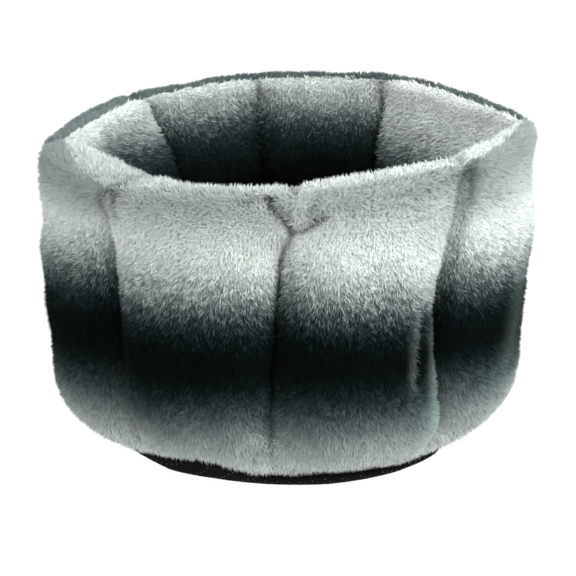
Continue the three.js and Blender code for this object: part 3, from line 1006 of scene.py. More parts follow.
def random_vector(tree, seed):
    node = add_node(tree, "FunctionNodeRandomValue", data_type="FLOAT_VECTOR")
    node.inputs[0].default_value, node.inputs[1].default_value = (-1, -1, -1), (1, 1, 1)
    node.inputs["Seed"].default_value = seed
    return node.outputs[0]


def soft_noise(tree, position, size):
    """A noise vector of about -1 to 1 whose waves have that size."""
    scale = do_math(tree, "DIVIDE", 1.0, size)
    inputs = {"Vector": position, "Scale": scale, "Detail": 1.0}
    node = add_node(tree, "ShaderNodeTexNoise", inputs)
    centred = do_vectors(tree, "SUBTRACT", node.outputs["Color"], (0.5, 0.5, 0.5))
    return do_vectors(tree, "SCALE", centred, NOISE_REACH)


def build_pile_tree():
    """Scatters strands over a cloth, leans them, makes them real and gives them UV cells."""
    tree = bpy.data.node_groups.new("grow pile", "GeometryNodeTree")
    add_sockets(tree, "INPUT", PILE_INPUTS)
    add_sockets(tree, "OUTPUT", {"Pile": "NodeSocketGeometry"})
    given = add_node(tree, "NodeGroupInput").outputs
    cloth = add_node(tree, "GeometryNodeSubdivisionSurface", {"Mesh": given["Cloth"], "Level": 1})
    density = do_math(tree, "MULTIPLY", given["Density"], named(tree, "thickly"))
    scatter = add_node(
        tree, "GeometryNodeDistributePointsOnFaces",
        {"Mesh": cloth.outputs[0], "Density": density, "Seed": given["Seed"]},
        distribute_method="RANDOM")
    points, normal = scatter.outputs["Points"], scatter.outputs["Normal"]
    position = add_node(tree, "GeometryNodeInputPosition").outputs[0]
    lock_scale = do_math(tree, "DIVIDE", 1.0, given["Lock Size"])
    locks = add_node(tree, "ShaderNodeTexVoronoi", {"Vector": position, "Scale": lock_scale})
    chance_of_lock = do_vectors(tree, "DOT_PRODUCT", locks.outputs["Color"], (1.0, 0.0, 0.0))
    points = stored(tree, points, "root", position, "FLOAT_VECTOR")
    points = stored(tree, points, "cloth_side", normal, "FLOAT_VECTOR")
    points = stored(tree, points, "chance", between(tree, -0.5, 0.5, 11))
    points = stored(tree, points, "lock", do_math(tree, "SUBTRACT", chance_of_lock, 0.5))
    points = stored(tree, points, "number", add_node(tree, "GeometryNodeInputIndex").outputs[0])
    stand = do_vectors(tree, "SCALE", normal, given["Stand"])
    lean = do_vectors(tree, "ADD", stand, named(tree, "nap", "FLOAT_VECTOR"))
    wave = soft_noise(tree, position, given["Wave Size"])
    lean = do_vectors(tree, "ADD", lean, do_vectors(tree, "SCALE", wave, given["Wave"]))
    loose = do_math(tree, "MULTIPLY", given["Stray"], named(tree, "loose"))
    stray = do_vectors(tree, "SCALE", random_vector(tree, 23), loose)
    lean = do_vectors(tree, "ADD", lean, stray)
    to_middle = do_vectors(tree, "SUBTRACT", locks.outputs["Position"], position)
    pull = do_math(tree, "DIVIDE", given["Lock Pull"], given["Lock Size"])
    lean = do_vectors(tree, "ADD", lean, do_vectors(tree, "SCALE", to_middle, pull))
    turn = add_node(tree, "FunctionNodeAlignRotationToVector", {"Vector": lean}, axis="Z")
    twist = add_node(tree, "FunctionNodeAxisAngleToRotation",
                     {"Axis": (0, 0, 1), "Angle": between(tree, 0, 2 * math.pi, 31)})
    turn = add_node(tree, "FunctionNodeRotateRotation",
                    {"Rotation": turn.outputs[0], "Rotate By": twist.outputs[0]},
                    rotation_space="LOCAL")
    width = do_math(tree, "MULTIPLY", given["Width"], between(tree, *WIDTH_RANGE, 41))
    length = do_math(tree, "MULTIPLY", given["Length"], between(tree, *LENGTH_RANGE, 43))
    length = do_math(tree, "MULTIPLY", length, named(tree, "pile"))
    size = add_node(tree, "ShaderNodeCombineXYZ", [width, width, length])
    shape = add_node(tree, "GeometryNodeObjectInfo", [given["Strand"]])
    placed = add_node(
        tree, "GeometryNodeInstanceOnPoints",
        {"Points": points, "Instance": shape.outputs["Geometry"],
         "Rotation": turn.outputs[0], "Scale": size.outputs[0]})
    real = add_node(tree, "GeometryNodeRealizeInstances", [placed.outputs[0]]).outputs[0]
    real = give_cells(tree, real, points)
    finished = add_node(
        tree, "GeometryNodeSetMaterial", {"Geometry": real, "Material": given["Finish"]})
    add_node(tree, "NodeGroupOutput", [finished.outputs[0]])
    return tree


def give_cells(tree, geometry, points):
    """A square cell of the UV map for each strand, so that its colours can be baked apart."""
    count = add_node(tree, "GeometryNodeAttributeDomainSize", [points], component="POINTCLOUD")
    across = do_math(tree, "CEIL", do_math(tree, "SQRT", count.outputs["Point Count"]))
    number = named(tree, "number")
    column = do_math(tree, "MODULO", number, across)
    row = do_math(tree, "FLOOR", do_math(tree, "DIVIDE", number, across))
    around = add_node(tree, "ShaderNodeSeparateXYZ", [named(tree, "around", "FLOAT_VECTOR")])
    places = []
    for cell, inside in ((column, around.outputs[0]), (row, around.outputs[1])):
        within = do_math(tree, "MULTIPLY_ADD", inside, CELL_SHARE, CELL_MARGIN)
        places.append(do_math(tree, "DIVIDE", do_math(tree, "ADD", cell, within), across))
    spot = add_node(tree, "ShaderNodeCombineXYZ", places).outputs[0]
    return stored(tree, geometry, "OFBake", spot, "FLOAT2", "CORNER")


pile_tree = build_pile_tree()

# %% Grow a pile as a mesh of its own
SOFTNESS = 0.88


def soften(mesh):
    """Turns the shading of the strands towards the cloth under them, as fine hair is soft."""
    if "cloth_side" not in mesh.attributes:
        return
    count = len(mesh.vertices)
    sides, own = np.zeros(count * 3, np.float32), np.zeros(count * 3, np.float32)
    mesh.attributes["cloth_side"].data.foreach_get("vector", sides)
    mesh.vertex_normals.foreach_get("vector", own)
    blend = unit(mix(own.reshape(-1, 3), unit(sides.reshape(-1, 3)), SOFTNESS))
    mesh.polygons.foreach_set("use_smooth", [True] * len(mesh.polygons))
    mesh.normals_split_custom_set_from_vertices(blend.tolist())
    mesh.attributes.remove(mesh.attributes["cloth_side"])


def grow(name, cloth, finish, tree=pile_tree, **values):
    """Grows the pile of a cloth as a plain mesh of its own."""
    modifier = cloth.modifiers.new("pile", "NODES")
    modifier.node_group = tree
    values = {"Strand": strand, "Finish": finish, **values}
    for item in tree.interface.items_tree:
        wanted = item.name.replace(" ", "_")
        if item.in_out == "INPUT" and item.name in values:
            modifier[item.identifier] = values[item.name]
        elif item.in_out == "INPUT" and wanted in values:
            modifier[item.identifier] = values[wanted]
    depsgraph = bpy.context.evaluated_depsgraph_get()
    mesh = bpy.data.meshes.new_from_object(
        cloth.evaluated_get(depsgraph), preserve_all_data_layers=True, depsgraph=depsgraph)
    cloth.modifiers.remove(modifier)
    mesh.name = name
    soften(mesh)
    for spare in ("around", "UVMap"):
        if spare in mesh.uv_layers:
            mesh.uv_layers.remove(mesh.uv_layers[spare])
    return new_object(name, mesh)


# %% [markdown]
# The cloth is dyed in soft bands that run round the bed: white on the rim, grey below it, a
# light band, black at half height and light again at the hem. On the real cloth the hairs carry
# the bands, so the colour is read at each strand's root, and the edge of a band breaks up into
# locks because each lock and each strand is shifted a little. A colour ramp over the height
# gives the bands, and the same node group serves the outer, inner and cushion plush.

# %% Tone of the pile
# The dye is cool: bluish in the darks, slightly green in the greys and nearly white on top.
TINTS = (
    (0.0, (0.30, 0.92, 0.92)), (0.03, (0.56, 0.98, 0.96)), (0.10, (0.72, 1.0, 0.98)),
    (0.45, (0.90, 1.0, 0.96)), (0.80, (0.92, 1.0, 0.94)), (1.0, (0.96, 1.0, 0.97)),
)
# Colour that the lighter painted lines mix in: a painted sheen of crushed pile.
PAINTED_SHEEN_TINT = (0.40, 0.54, 0.50, 1)
# Single strands differ most low down, less and less towards the rim, and locks the same all over.
FROST = {"From Min": 0.04, "From Max": 0.18, "To Min": 0.95, "To Max": 0.14}
LOCK_CONTRAST = 0.16
# Parted pile in seams and folds is darkened by this share: painted shade of the crease.
PAINTED_CREASE_SHADE = -0.5
SWAY_SCALE = 9.0


def cloudy(tree, place, scale, detail):
    """A noise value of 0 to 1 at each place."""
    inputs = {"Vector": place, "Scale": scale, "Detail": detail}
    return add_node(tree, "ShaderNodeTexNoise", inputs).outputs[0]


def build_tone_group():
    """Place on the colour ramp and shade of a strand, from its root and its own chances. The shade
    also holds painted shade: darker towards the root and in creases.
    """
    tree = bpy.data.node_groups.new("tone of pile", "ShaderNodeTree")
    add_sockets(tree, "INPUT", {
        "Root": "NodeSocketVector",
        "Along": "NodeSocketFloat",
        "Strand Chance": "NodeSocketFloat",
        "Lock Chance": "NodeSocketFloat",
        "Shift": "NodeSocketFloat",
        "Parted_And_Shaded": "NodeSocketFloat",
        "Sway": "NodeSocketFloat",
        "Lock Shift": "NodeSocketFloat",
        "Strand Shift": "NodeSocketFloat",
        "Top": "NodeSocketFloat",
        "Root Shade": "NodeSocketFloat",
        "Tip Shade": "NodeSocketFloat",
    })
    add_sockets(tree, "OUTPUT", {"Place": "NodeSocketFloat", "Shade": "NodeSocketFloat"})
    given = add_node(tree, "NodeGroupInput").outputs
    height = add_node(tree, "ShaderNodeSeparateXYZ", [given["Root"]]).outputs[2]
    slow = do_math(tree, "SUBTRACT", cloudy(tree, given["Root"], SWAY_SCALE, 3.0), 0.5)
    sway = do_math(tree, "MULTIPLY", slow, given["Sway"])
    lock = do_math(tree, "MULTIPLY", given["Lock Chance"], given["Lock Shift"])
    single = do_math(tree, "MULTIPLY", given["Strand Chance"], given["Strand Shift"])
    for shift in (sway, lock, single, given["Shift"]):
        height = do_math(tree, "ADD", height, shift)
    place = do_math(tree, "DIVIDE", height, given["Top"])
    # Painted shade: each strand is darker towards its root, as the pile shades its own depth.
    span = do_math(tree, "SUBTRACT", given["Tip Shade"], given["Root Shade"])
    shade = do_math(tree, "MULTIPLY_ADD", given["Along"], span, given["Root Shade"])
    frosted = add_node(tree, "ShaderNodeMapRange", {"Value": height, **FROST})
    uneven = do_math(tree, "MULTIPLY_ADD", given["Lock Chance"], LOCK_CONTRAST, 1.0)
    uneven = do_math(tree, "MULTIPLY_ADD", given["Strand Chance"], frosted.outputs[0], uneven)
    # Painted shade: pile parted along seams and in folds is darkened, and on a bulge it is
    # lightened a little.
    uneven = do_math(tree, "MULTIPLY_ADD", given["Parted_And_Shaded"], PAINTED_CREASE_SHADE, uneven)
    shade = do_math(tree, "MULTIPLY", shade, uneven)
    add_node(tree, "NodeGroupOutput", [place, shade])
    return tree


tone_group = build_tone_group()


def new_material(name, roughness, specular):
    """A material with a Principled shader whose constants are set on its own sockets."""
    material = bpy.data.materials.new(name)
    material.use_nodes = True
    shader = material.node_tree.nodes["Principled BSDF"]
    shader.inputs["Roughness"].default_value = roughness
    shader.inputs["Specular IOR Level"].default_value = specular
    return material, material.node_tree, shader


def attribute(tree, name, output="Fac"):
    node = add_node(tree, "ShaderNodeAttribute", attribute_name=name, attribute_type="GEOMETRY")
    return node.outputs[output]


def object_place(tree):
    return add_node(tree, "ShaderNodeTexCoord").outputs["Object"]


def add_bump(tree, shader, strength, distance, height):
    inputs = {"Strength": strength, "Distance": distance, "Height": height}
    bump = add_node(tree, "ShaderNodeBump", inputs)
    tree.links.new(bump.outputs[0], shader.inputs["Normal"])


def two_tone(tree, shader, share, dark, light):
    """Mixes the shader's colour from two colours."""
    inputs = {0: share, 6: (*dark, 1), 7: (*light, 1)}
    mixed = add_node(tree, "ShaderNodeMix", inputs, data_type="RGBA")
    tree.links.new(mixed.outputs[2], shader.inputs["Base Color"])


def dyed(light):
    """The colour of a band from its lightness."""
    lights = [known for known, _ in TINTS]
    return [light * float(np.interp(light, lights, part)) for part in zip(*(t for _, t in TINTS))]


def add_painted_sheen_and_shade(tree, colour):
    """Painted light on the pile. Where the attribute is above 0, the colour is mixed towards a
    painted sheen, as crushed pile shows. Where it is below 0, the colour is darkened with painted
    shade, as in folds and beside seams."""
    painted_light = attribute(tree, "painted_light")
    node = add_node(tree, "ShaderNodeMix", {0: painted_light, 6: colour, 7: PAINTED_SHEEN_TINT}, data_type="RGBA")
    dim = do_math(tree, "ADD", do_math(tree, "MINIMUM", painted_light, 0.0), 1.0)
    return do_vectors(tree, "SCALE", node.outputs[2], dim)


def ramp_of(tree, place, bands):
    """A colour ramp through bands of (height, lightness)."""
    ramp = add_node(tree, "ShaderNodeValToRGB", [place])
    elements = ramp.color_ramp.elements
    elements.remove(elements[1])
    for number, (height, light) in enumerate(bands):
        element = elements.new(height / BAND_TOP) if number else elements[0]
        element.color = (*dyed(light), 1)
    return ramp.outputs["Color"]


def plush_colour(tree, shader, bands, inputs, changes):
    """Gives a shader the colour of plush, from the tone group's inputs and the values changed."""
    own = {name: attribute(tree, name.lower()) for name in ("Shift", "Parted_And_Shaded")}
    values = {key.replace("_", " "): value for key, value in changes.items()}
    inputs = {**inputs, **own, "Top": BAND_TOP, **values}
    tone = add_node(tree, "ShaderNodeGroup", inputs, node_tree=tone_group)
    colour = add_painted_sheen_and_shade(tree, ramp_of(tree, tone.outputs["Place"], bands))
    colour = do_vectors(tree, "SCALE", colour, tone.outputs["Shade"])
    tree.links.new(colour, shader.inputs["Base Color"])


def banded_pile(name, bands, **changes):
    """Material of the strands: banded by the height of their roots."""
    material, tree, shader = new_material(name, roughness=0.9, specular=0.06)
    inputs = {
        "Root": attribute(tree, "root", "Vector"),
        "Along": attribute(tree, "along"),
        "Strand Chance": attribute(tree, "chance"),
        "Lock Chance": attribute(tree, "lock"),
    }
    plush_colour(tree, shader, bands, inputs, changes)
    return material


def backing_cloth(name, bands, shade, **changes):
    """Material of the cloth under the strands: the same bands, finely uneven, and darker by shade,
    which is painted shade deep under the pile.
    """
    material, tree, shader = new_material(name, roughness=0.95, specular=0.1)
    place = object_place(tree)
    fine = cloudy(tree, place, 420.0, 4.0)
    inputs = {"Root": place, "Along": fine, "Root Shade": 0.4 * shade, "Tip Shade": 1.6 * shade}
    plush_colour(tree, shader, bands, inputs, changes)
    add_bump(tree, shader, 0.6, 0.0008, fine)
    return material


# %% The bands of the plush
BAND_TOP = 0.35
OUTER_BANDS = (
    (0.000, 0.68), (0.034, 0.64), (0.053, 0.40), (0.062, 0.29), (0.070, 0.19), (0.086, 0.055),
    (0.103, 0.010), (0.119, 0.004), (0.136, 0.004), (0.152, 0.008), (0.168, 0.040), (0.181, 0.16),
    (0.194, 0.42), (0.210, 0.72), (0.228, 0.82), (0.244, 0.67), (0.255, 0.54), (0.267, 0.49),
    (0.280, 0.41), (0.300, 0.34), (0.318, 0.22), (0.335, 0.13), (0.350, 0.10),
)
INNER_BANDS = (
    (0.000, 0.30), (0.060, 0.12), (0.100, 0.008), (0.200, 0.003), (0.219, 0.004), (0.232, 0.012),
    (0.245, 0.042), (0.254, 0.13), (0.263, 0.32), (0.2715, 0.52), (0.279, 0.64), (0.290, 0.76),
    (0.305, 0.90),
)
# Root Shade and Tip Shade paint shade into the pile: each strand is darker towards its root.
outer_pile = banded_pile(
    "outer plush", OUTER_BANDS, Sway=0.020, Lock_Shift=0.012, Strand_Shift=0.020,
    Root_Shade=0.90, Tip_Shade=1.06)
# Each backing is darker by its shade: painted shade deep under the pile.
outer_backing = backing_cloth("outer backing", OUTER_BANDS, shade=0.8, Sway=0.020)
inner_pile = banded_pile(
    "inner plush", INNER_BANDS, Sway=0.022, Lock_Shift=0.010, Strand_Shift=0.008,
    Root_Shade=0.80, Tip_Shade=1.12)
inner_backing = backing_cloth("inner backing", INNER_BANDS, shade=0.6, Sway=0.022)

# %% [markdown]
# The nap tells each strand where to lean. Down the wall it lies mostly downwards, close to a
# seam it also leans over the seam, and on the front of the rim it stands nearly upright. The
# direction is kept on the cloth as an attribute, and the tree reads it at every root.

# %% Lay the nap and grow the pile
# Finish, strands to the square metre and their length, and what both faces share.
PILE_KINDS = {
    "outer": (outer_pile, 800000.0, 0.0074),
    "inner": (inner_pile, 620000.0, 0.0072),
}
PILE_SHAPE = {
    "Width": 0.0006, "Stand": 1.0, "Wave": 0.5, "Wave_Size": 0.006, "Stray": 0.42,
    "Lock_Size": 0.0032, "Lock_Pull": 0.25,
}
# The pile is parted over this width along a seam, up to so near its ends, and darkened there with
# painted shade of the seam's crease.
PARTING, PARTING_SHARE, PARTING_FADE = 0.0065, 0.8, 0.012
# How far a panel's bands are moved down, because each is cut from the cloth by hand: at its
# left and right edge at the rim, the same at half height, and the same at the hem.
OUTER_SHIFTS = 0.001 * np.array([
    (3, 5, -11, 18, 0, -4), (26, 4, -3, 3, -12, -18), (48, 56, 0, 3, 0, 3), (60, 62, 0, 0, 0, 0),
    (62, 60, -3, 0, 0, 2), (58, 50, 0, 3, 3, 0), (38, 32, 8, -10, -4, -5), (10, 4, 5, 1, 0, 0)])
INNER_SHIFTS = 0.001 * np.array([
    (9, 0, 9, 0, 0, 0), (-1, 8, -1, 8, 0, 0), (44, 28, 44, 28, 0, 0), (5, 8, 5, 8, 0, 0),
    (4, 9, 4, 9, 0, 0), (20, 13, 20, 13, 0, 0), (12, 6, 12, 6, 0, 0), (8, 9, 8, 9, 0, 0)])
# The first two shifts hold above the upper fade, the last two below the lower one.
UPPER_FADE_START, UPPER_FADE_LENGTH = 0.215, 0.045
LOWER_FADE_START, LOWER_FADE_LENGTH = 0.09, 0.09
# Lines of painted light on the outer pile. Where the strength is above 0, a painted sheen lightens
# crushed pile, and one line on the right edge stands for a rim light. Below 0, painted shade
# darkens the folds and the sides of seams that a bulging panel shades. Each line gives the channel,
# how much, how wide, and the line as seen from the front.
PAINTED_SHEEN_AND_SHADE = (
    (0, 0.22, 0.0026, ((0.1033, 0.184), (0.1030, 0.155), (0.1010, 0.100))),
    (0, 0.36, 0.0046, ((0.1210, 0.190), (0.1195, 0.155), (0.1185, 0.095), (0.1180, 0.050))),
    (1, 0.10, 0.0070, ((0.1930, 0.180), (0.1880, 0.130), (0.1800, 0.100))),
    (0, -0.80, 0.0014, ((0.1090, 0.163), (0.1075, 0.145), (0.1080, 0.125), (0.1060, 0.107))),
    (0, -0.70, 0.0028, ((0.1095, 0.160), (0.1110, 0.158))),
    (1, -0.55, 0.0055, ((0.1485, 0.278), (0.1475, 0.258))),
    (1, -0.38, 0.0060, ((0.1475, 0.266), (0.1460, 0.247), (0.1410, 0.221), (0.1330, 0.188),
                        (0.1300, 0.150))),
    (7, -0.85, 0.0026, ((0.0045, 0.2397), (0.0010, 0.2474), (-0.0045, 0.2544), (-0.0130, 0.2620),
                        (-0.0153, 0.2720))),
    (0, -0.85, 0.0026, ((0.0045, 0.2397), (0.0136, 0.2426), (0.0230, 0.2491), (0.0290, 0.2530))),
    (7, -0.45, 0.0024, ((0.0045, 0.2397), (-0.0026, 0.2257), (-0.0068, 0.2056), (-0.0085, 0.1837))),
    (0, -0.45, 0.0024, ((0.0045, 0.2397), (-0.0026, 0.2257), (-0.0068, 0.2056), (-0.0085, 0.1837))),
    (0, -0.40, 0.0012, ((0.0160, 0.2640), (0.0175, 0.2560))),
    (0, -0.45, 0.0012, ((0.0205, 0.2600), (0.0215, 0.2510))),
    (0, -0.35, 0.0012, ((0.0255, 0.2570), (0.0245, 0.2510))),
    (7, -0.40, 0.0014, ((-0.0270, 0.2640), (-0.0375, 0.2645))),
    (7, -0.70, 0.0018, ((-0.1440, 0.2680), (-0.1416, 0.2564), (-0.1382, 0.2400))),
    (7, -0.40, 0.0018, ((-0.1373, 0.2724), (-0.1339, 0.2660))),
    (0, 0.15, 0.0070, ((-0.0020, 0.0400), (0.0130, 0.0310))),
    (7, -0.60, 0.0022, ((-0.0300, 0.0440), (-0.0264, 0.0470), (-0.0150, 0.0490))),
)


def band_shift(shifts, grid):
    """How far the bands are moved at each point of a panel's grid."""
    height = grid[..., 2]
    right = (1 + fine_across) / 2
    rim, middle, low = [mix(shifts[k], shifts[k + 1], right) for k in (0, 2, 4)]
    upper = mix(middle, rim, smooth((height - UPPER_FADE_START) / UPPER_FADE_LENGTH))
    return mix(low, upper, smooth((height - LOWER_FADE_START) / LOWER_FADE_LENGTH))


def painted_sheen_and_shade_of(face, channel, grid):
    """How much painted sheen lightens and painted shade darkens the pile of a panel, along its
    painted lines.
    """
    painted_light = np.zeros(grid.shape[:2])
    for own_channel, strength, width, line in PAINTED_SHEEN_AND_SHADE:
        if face == "inner" or channel != own_channel:
            continue
        near = strength * np.exp(-((line_distance(grid, line) / width) ** 2))
        painted_light = np.where(np.abs(near) > np.abs(painted_light), near, painted_light)
    return painted_light


def parting_and_crease_shade(face, channel, grid):
    """Where the pile is parted: along the upright seams, and in the folds of the outer cloth. The
    value shortens the pile and darkens it with painted shade of the crease. On a bulge it lightens
    the pile a little, as a painted highlight.
    """
    start, end = seam_bearing(channel), seam_bearing(channel + 1)
    off_seam = (1 - np.abs(fine_across)) * (end - start) / 2 * TURN_RADIUS
    parted_and_shaded = PARTING_SHARE * np.exp(-((off_seam / PARTING) ** 2)) + 0 * grid[..., 2]
    if face == "outer":
        top = nearer_seam(SEAM_TOPS, channel, fine_across)
        bottom = nearer_seam(SEAM_BOTTOMS, channel, fine_across)
        parted_and_shaded = parted_and_shaded * (1 - smooth((grid[..., 2] - top) / PARTING_FADE))
        parted_and_shaded = parted_and_shaded * smooth((grid[..., 2] - bottom + 0.01) / PARTING_FADE)
        folds = creased(grid)[1]
        parted_and_shaded = np.clip(np.maximum(parted_and_shaded, folds), 0, 1) + np.clip(folds, -1, 0) * 0.2
    return parted_and_shaded


# Each pair is a value on top and below, or on the rim in front and behind. A lay above 0 leans
# the strands up the rows of the panel, which climb outside and run down inside.
OUTER_LAY, OUTER_SIDE_LAY, OUTER_PILE = (0.15, -0.60), 0.20, (1.0, 0.85)
INNER_LAY, INNER_RIM_LAY, INNER_RIM_PILE = 0.55, (0.15, 0.7), (0.78, 0.6)
INNER_THICKNESS, INNER_LOOSENESS = (0.45, 1.1), (1.0, 1.7)
SEAM_LAY, SEAM_LAY_POWER = 0.15, 9
SHORT_BEHIND, SHORT_PARTED, SHORT_PARTED_INSIDE = 0.4, 0.5, 0.4


def nap_of(face, grid, parted_and_shaded):
    """Nap, length, thickness and looseness of the pile over a panel's grid."""
    up, right = unit(np.gradient(grid, axis=0)), unit(np.gradient(grid, axis=1))
    height = grid[..., 2]
    parted_and_shaded = np.clip(parted_and_shaded, 0, 1)
    behind = smooth((grid[..., 1] + 0.02) / 0.05)
    to_side = SEAM_LAY * np.sign(fine_across) * np.abs(fine_across) ** SEAM_LAY_POWER
    if face == "outer":
        below = smooth((ROLL_HEIGHT - 0.002 - height) / 0.03)
        lay = mix(*OUTER_LAY, below)
        to_side = to_side - OUTER_SIDE_LAY * (1 - below)
        thick = np.ones_like(height)
        loose = np.ones_like(height)
        pile = (1 - SHORT_PARTED * parted_and_shaded) * mix(*OUTER_PILE, below)
        pile = pile * (1 - SHORT_BEHIND * behind * (1 - below))
    else:
        over = smooth((height - ROLL_HEIGHT + 0.01) / 0.012)
        lay = mix(INNER_LAY, mix(*INNER_RIM_LAY, behind), over)
        thick = mix(*INNER_THICKNESS, smooth((height - 0.225) / 0.03))
        loose = mix(*INNER_LOOSENESS, over)
        pile = (1 - SHORT_PARTED_INSIDE * parted_and_shaded) * mix(1.0, mix(*INNER_RIM_PILE, behind), over)
    nap = up * lay[..., None] + right * (to_side + 0 * height)[..., None]
    return nap, pile, thick, loose


def carrier(face, channel):
    """The open sheet that the pile of a panel grows on. The backing takes the same tones."""
    grid = panels[face, channel]
    mesh = mesh_of("carrier", grid, grid_faces(*grid.shape[:2]))
    parted_and_shaded = parting_and_crease_shade(face, channel, grid)
    nap, pile, thick, loose = nap_of(face, grid, parted_and_shaded)
    set_values(mesh, "nap", nap.reshape(-1, 3))
    set_values(mesh, "pile", pile.ravel())
    set_values(mesh, "thickly", thick.ravel())
    set_values(mesh, "loose", loose.ravel())
    shifts = (OUTER_SHIFTS if face == "outer" else INNER_SHIFTS)[channel]
    tones = {
        "parted_and_shaded": parted_and_shaded,
        # Painted sheen and painted shade along the painted lines of the outer pile.
        "painted_light": painted_sheen_and_shade_of(face, channel, grid),
        "shift": band_shift(shifts, grid),
    }
    skin = bpy.data.objects[f"{face}_cloth_{channel + 1}"].data
    for name, values in tones.items():
        set_values(mesh, name, values.ravel())
        set_values(skin, name, np.tile(values.ravel(), 2))
    return new_object("carrier", mesh)


piles = []
for channel in range(CHANNELS):
    for face, (finish, density, length) in PILE_KINDS.items():
        sheet = carrier(face, channel)
        pile = grow(
            f"{face}_pile_{channel + 1}", sheet, finish, Density=density, Length=length,
            Seed=100 + 2 * channel + (face == "outer"), **PILE_SHAPE)
        bpy.data.objects.remove(sheet)
        piles.append((pile, face))
print("pile grown:", sum(len(p.data.polygons) for p, _ in piles), "faces")

# %% Pile of the cushion
CUSHION_BANDS = (
    (0.00, 0.70), (0.05, 0.45), (0.09, 0.10), (0.12, 0.02), (0.16, 0.02), (0.19, 0.12),
    (0.23, 0.55), (0.27, 0.85), (0.30, 0.60),
)


def cushion_tone(name, build, **changes):
    """The cushion's bands run across it, so its height is read along Y."""
    material = build(name, CUSHION_BANDS, **changes)
    tree = material.node_tree
    tone = next(n for n in tree.nodes if n.bl_idname == "ShaderNodeGroup")
    source = tone.inputs["Root"].links[0].from_socket
    turned_place = add_node(tree, "ShaderNodeMapping", {
        "Vector": source, "Location": (0, 0, 0.15), "Rotation": (math.radians(90), 0, 0)})
    tree.links.new(turned_place.outputs[0], tone.inputs["Root"])
    return material


# Root Shade and Tip Shade paint shade into the pile here too: darker towards the roots.
cushion_pile_finish = cushion_tone(
    "cushion plush", banded_pile, Sway=0.03, Lock_Shift=0.014, Strand_Shift=0.010,
    Root_Shade=0.75, Tip_Shade=1.08)
# The cushion's backing is darker by its shade: painted shade deep under the pile.
cushion_backing = cushion_tone("cushion backing", backing_cloth, shade=0.4, Sway=0.03)


def cushion_carrier():
    """The open sheet that the cushion's pile grows on: its nap runs one way, but for the edge."""
    line = cushion_side(CROWN_RISE, CROWN_FLAT, PLUSH_DEPTH)[:-1]
    bearings = np.linspace(0, 2 * math.pi, ROUND_STEPS // 2 + 1)
    radius, height = puckered(line[:, :1], line[:, 1:] + 0 * bearings, bearings[None, :])
    grid = round_points(radius, height, bearings)
    mesh = mesh_of("carrier", grid, grid_faces(*grid.shape[:2]))
    outwards = unit(grid - np.array([AXIS_X, AXIS_Y, 0]))
    outwards[..., 2] = 0
    one_way = np.zeros_like(grid) + np.array([0.25, -0.6, 0])
    edge = smooth((radius / CUSHION_RADIUS - 0.8) / 0.2)[..., None]
    set_values(mesh, "nap", mix(one_way, 0.5 * outwards, edge).reshape(-1, 3))
    count = grid.shape[0] * grid.shape[1]
    even = {"pile": 1.0, "thickly": 1.0, "loose": 1.0, "shift": 0.0, "parted_and_shaded": 0.0, "painted_light": 0.0}
    for name, value in even.items():
        set_values(mesh, name, np.full(count, value))
    return new_object("carrier", mesh)


sheet = cushion_carrier()
cushion_pile = grow(
    "cushion_pile", sheet, cushion_pile_finish, Density=560000.0, Length=0.0075, Width=0.00065,
    Stand=1.0, Wave=0.5, Wave_Size=0.008, Stray=0.42, Lock_Size=0.004, Lock_Pull=0.3, Seed=77)
bpy.data.objects.remove(sheet)
bpy.data.objects.remove(strand)
print("cushion pile:", len(cushion_pile.data.polygons), "faces")

# %% [markdown]
# The plain cloths are woven. A weave is two sets of ribs that cross, so one node group makes
# it from two waves and puts out its height and how worn it is. The base cloth takes it in
# black, the lining in dark grey. The fillings are matt fibre and foam.

# %% Weave


def build_weave_group():
    """Height of a weave, a little rough, and a slow unevenness that it puts out as Wear."""
    tree = bpy.data.node_groups.new("weave", "ShaderNodeTree")
    add_sockets(tree, "INPUT", {"Place": "NodeSocketVector", "Pitch": "NodeSocketFloat"})
    add_sockets(tree, "OUTPUT", {"Height": "NodeSocketFloat", "Wear": "NodeSocketFloat"})
    given = add_node(tree, "NodeGroupInput").outputs
    part = add_node(tree, "ShaderNodeSeparateXYZ", [given["Place"]]).outputs
    turns = do_math(tree, "DIVIDE", math.pi, given["Pitch"])
    waves = []
    for axis in (0, 1):
        along = do_math(tree, "MULTIPLY", part[axis], turns)
        waves.append(do_math(tree, "ABSOLUTE", do_math(tree, "SINE", along)))
    height = do_math(tree, "MULTIPLY", waves[0], waves[1])
    rough = cloudy(tree, given["Place"], 300.0, 3.0)
    height = do_math(tree, "MULTIPLY_ADD", rough, 0.4, height)
    add_node(tree, "NodeGroupOutput", [height, cloudy(tree, given["Place"], 25.0, 4.0)])
    return tree


weave_group = build_weave_group()


def woven(name, dark, light, pitch):
    """Plain cloth of two colours, with a weave of that pitch."""
    material, tree, shader = new_material(name, roughness=0.8, specular=0.01)
    inputs = {"Place": object_place(tree), "Pitch": pitch}
    weave = add_node(tree, "ShaderNodeGroup", inputs, node_tree=weave_group).outputs
    height = do_math(tree, "MULTIPLY", weave["Height"], 0.5)
    shade = do_math(tree, "MULTIPLY_ADD", weave["Wear"], 0.5, height)
    two_tone(tree, shader, shade, dark, light)
    add_bump(tree, shader, 0.7, 0.0004, weave["Height"])
    return material


base_finish = woven("base cloth", (0.001, 0.0012, 0.001), (0.004, 0.0046, 0.0042), 0.0011)
lining_finish = woven("lining cloth", (0.012, 0.013, 0.014), (0.05, 0.055, 0.056), 0.0008)


def fibrous(name, dark, light, size):
    """Matt fibre or foam: cloudy, with a fine rough surface."""
    material, tree, shader = new_material(name, roughness=0.95, specular=0.1)
    cloud = cloudy(tree, object_place(tree), 1 / size, 6.0)
    two_tone(tree, shader, cloud, dark, light)
    add_bump(tree, shader, 0.8, 0.001, cloud)
    return material


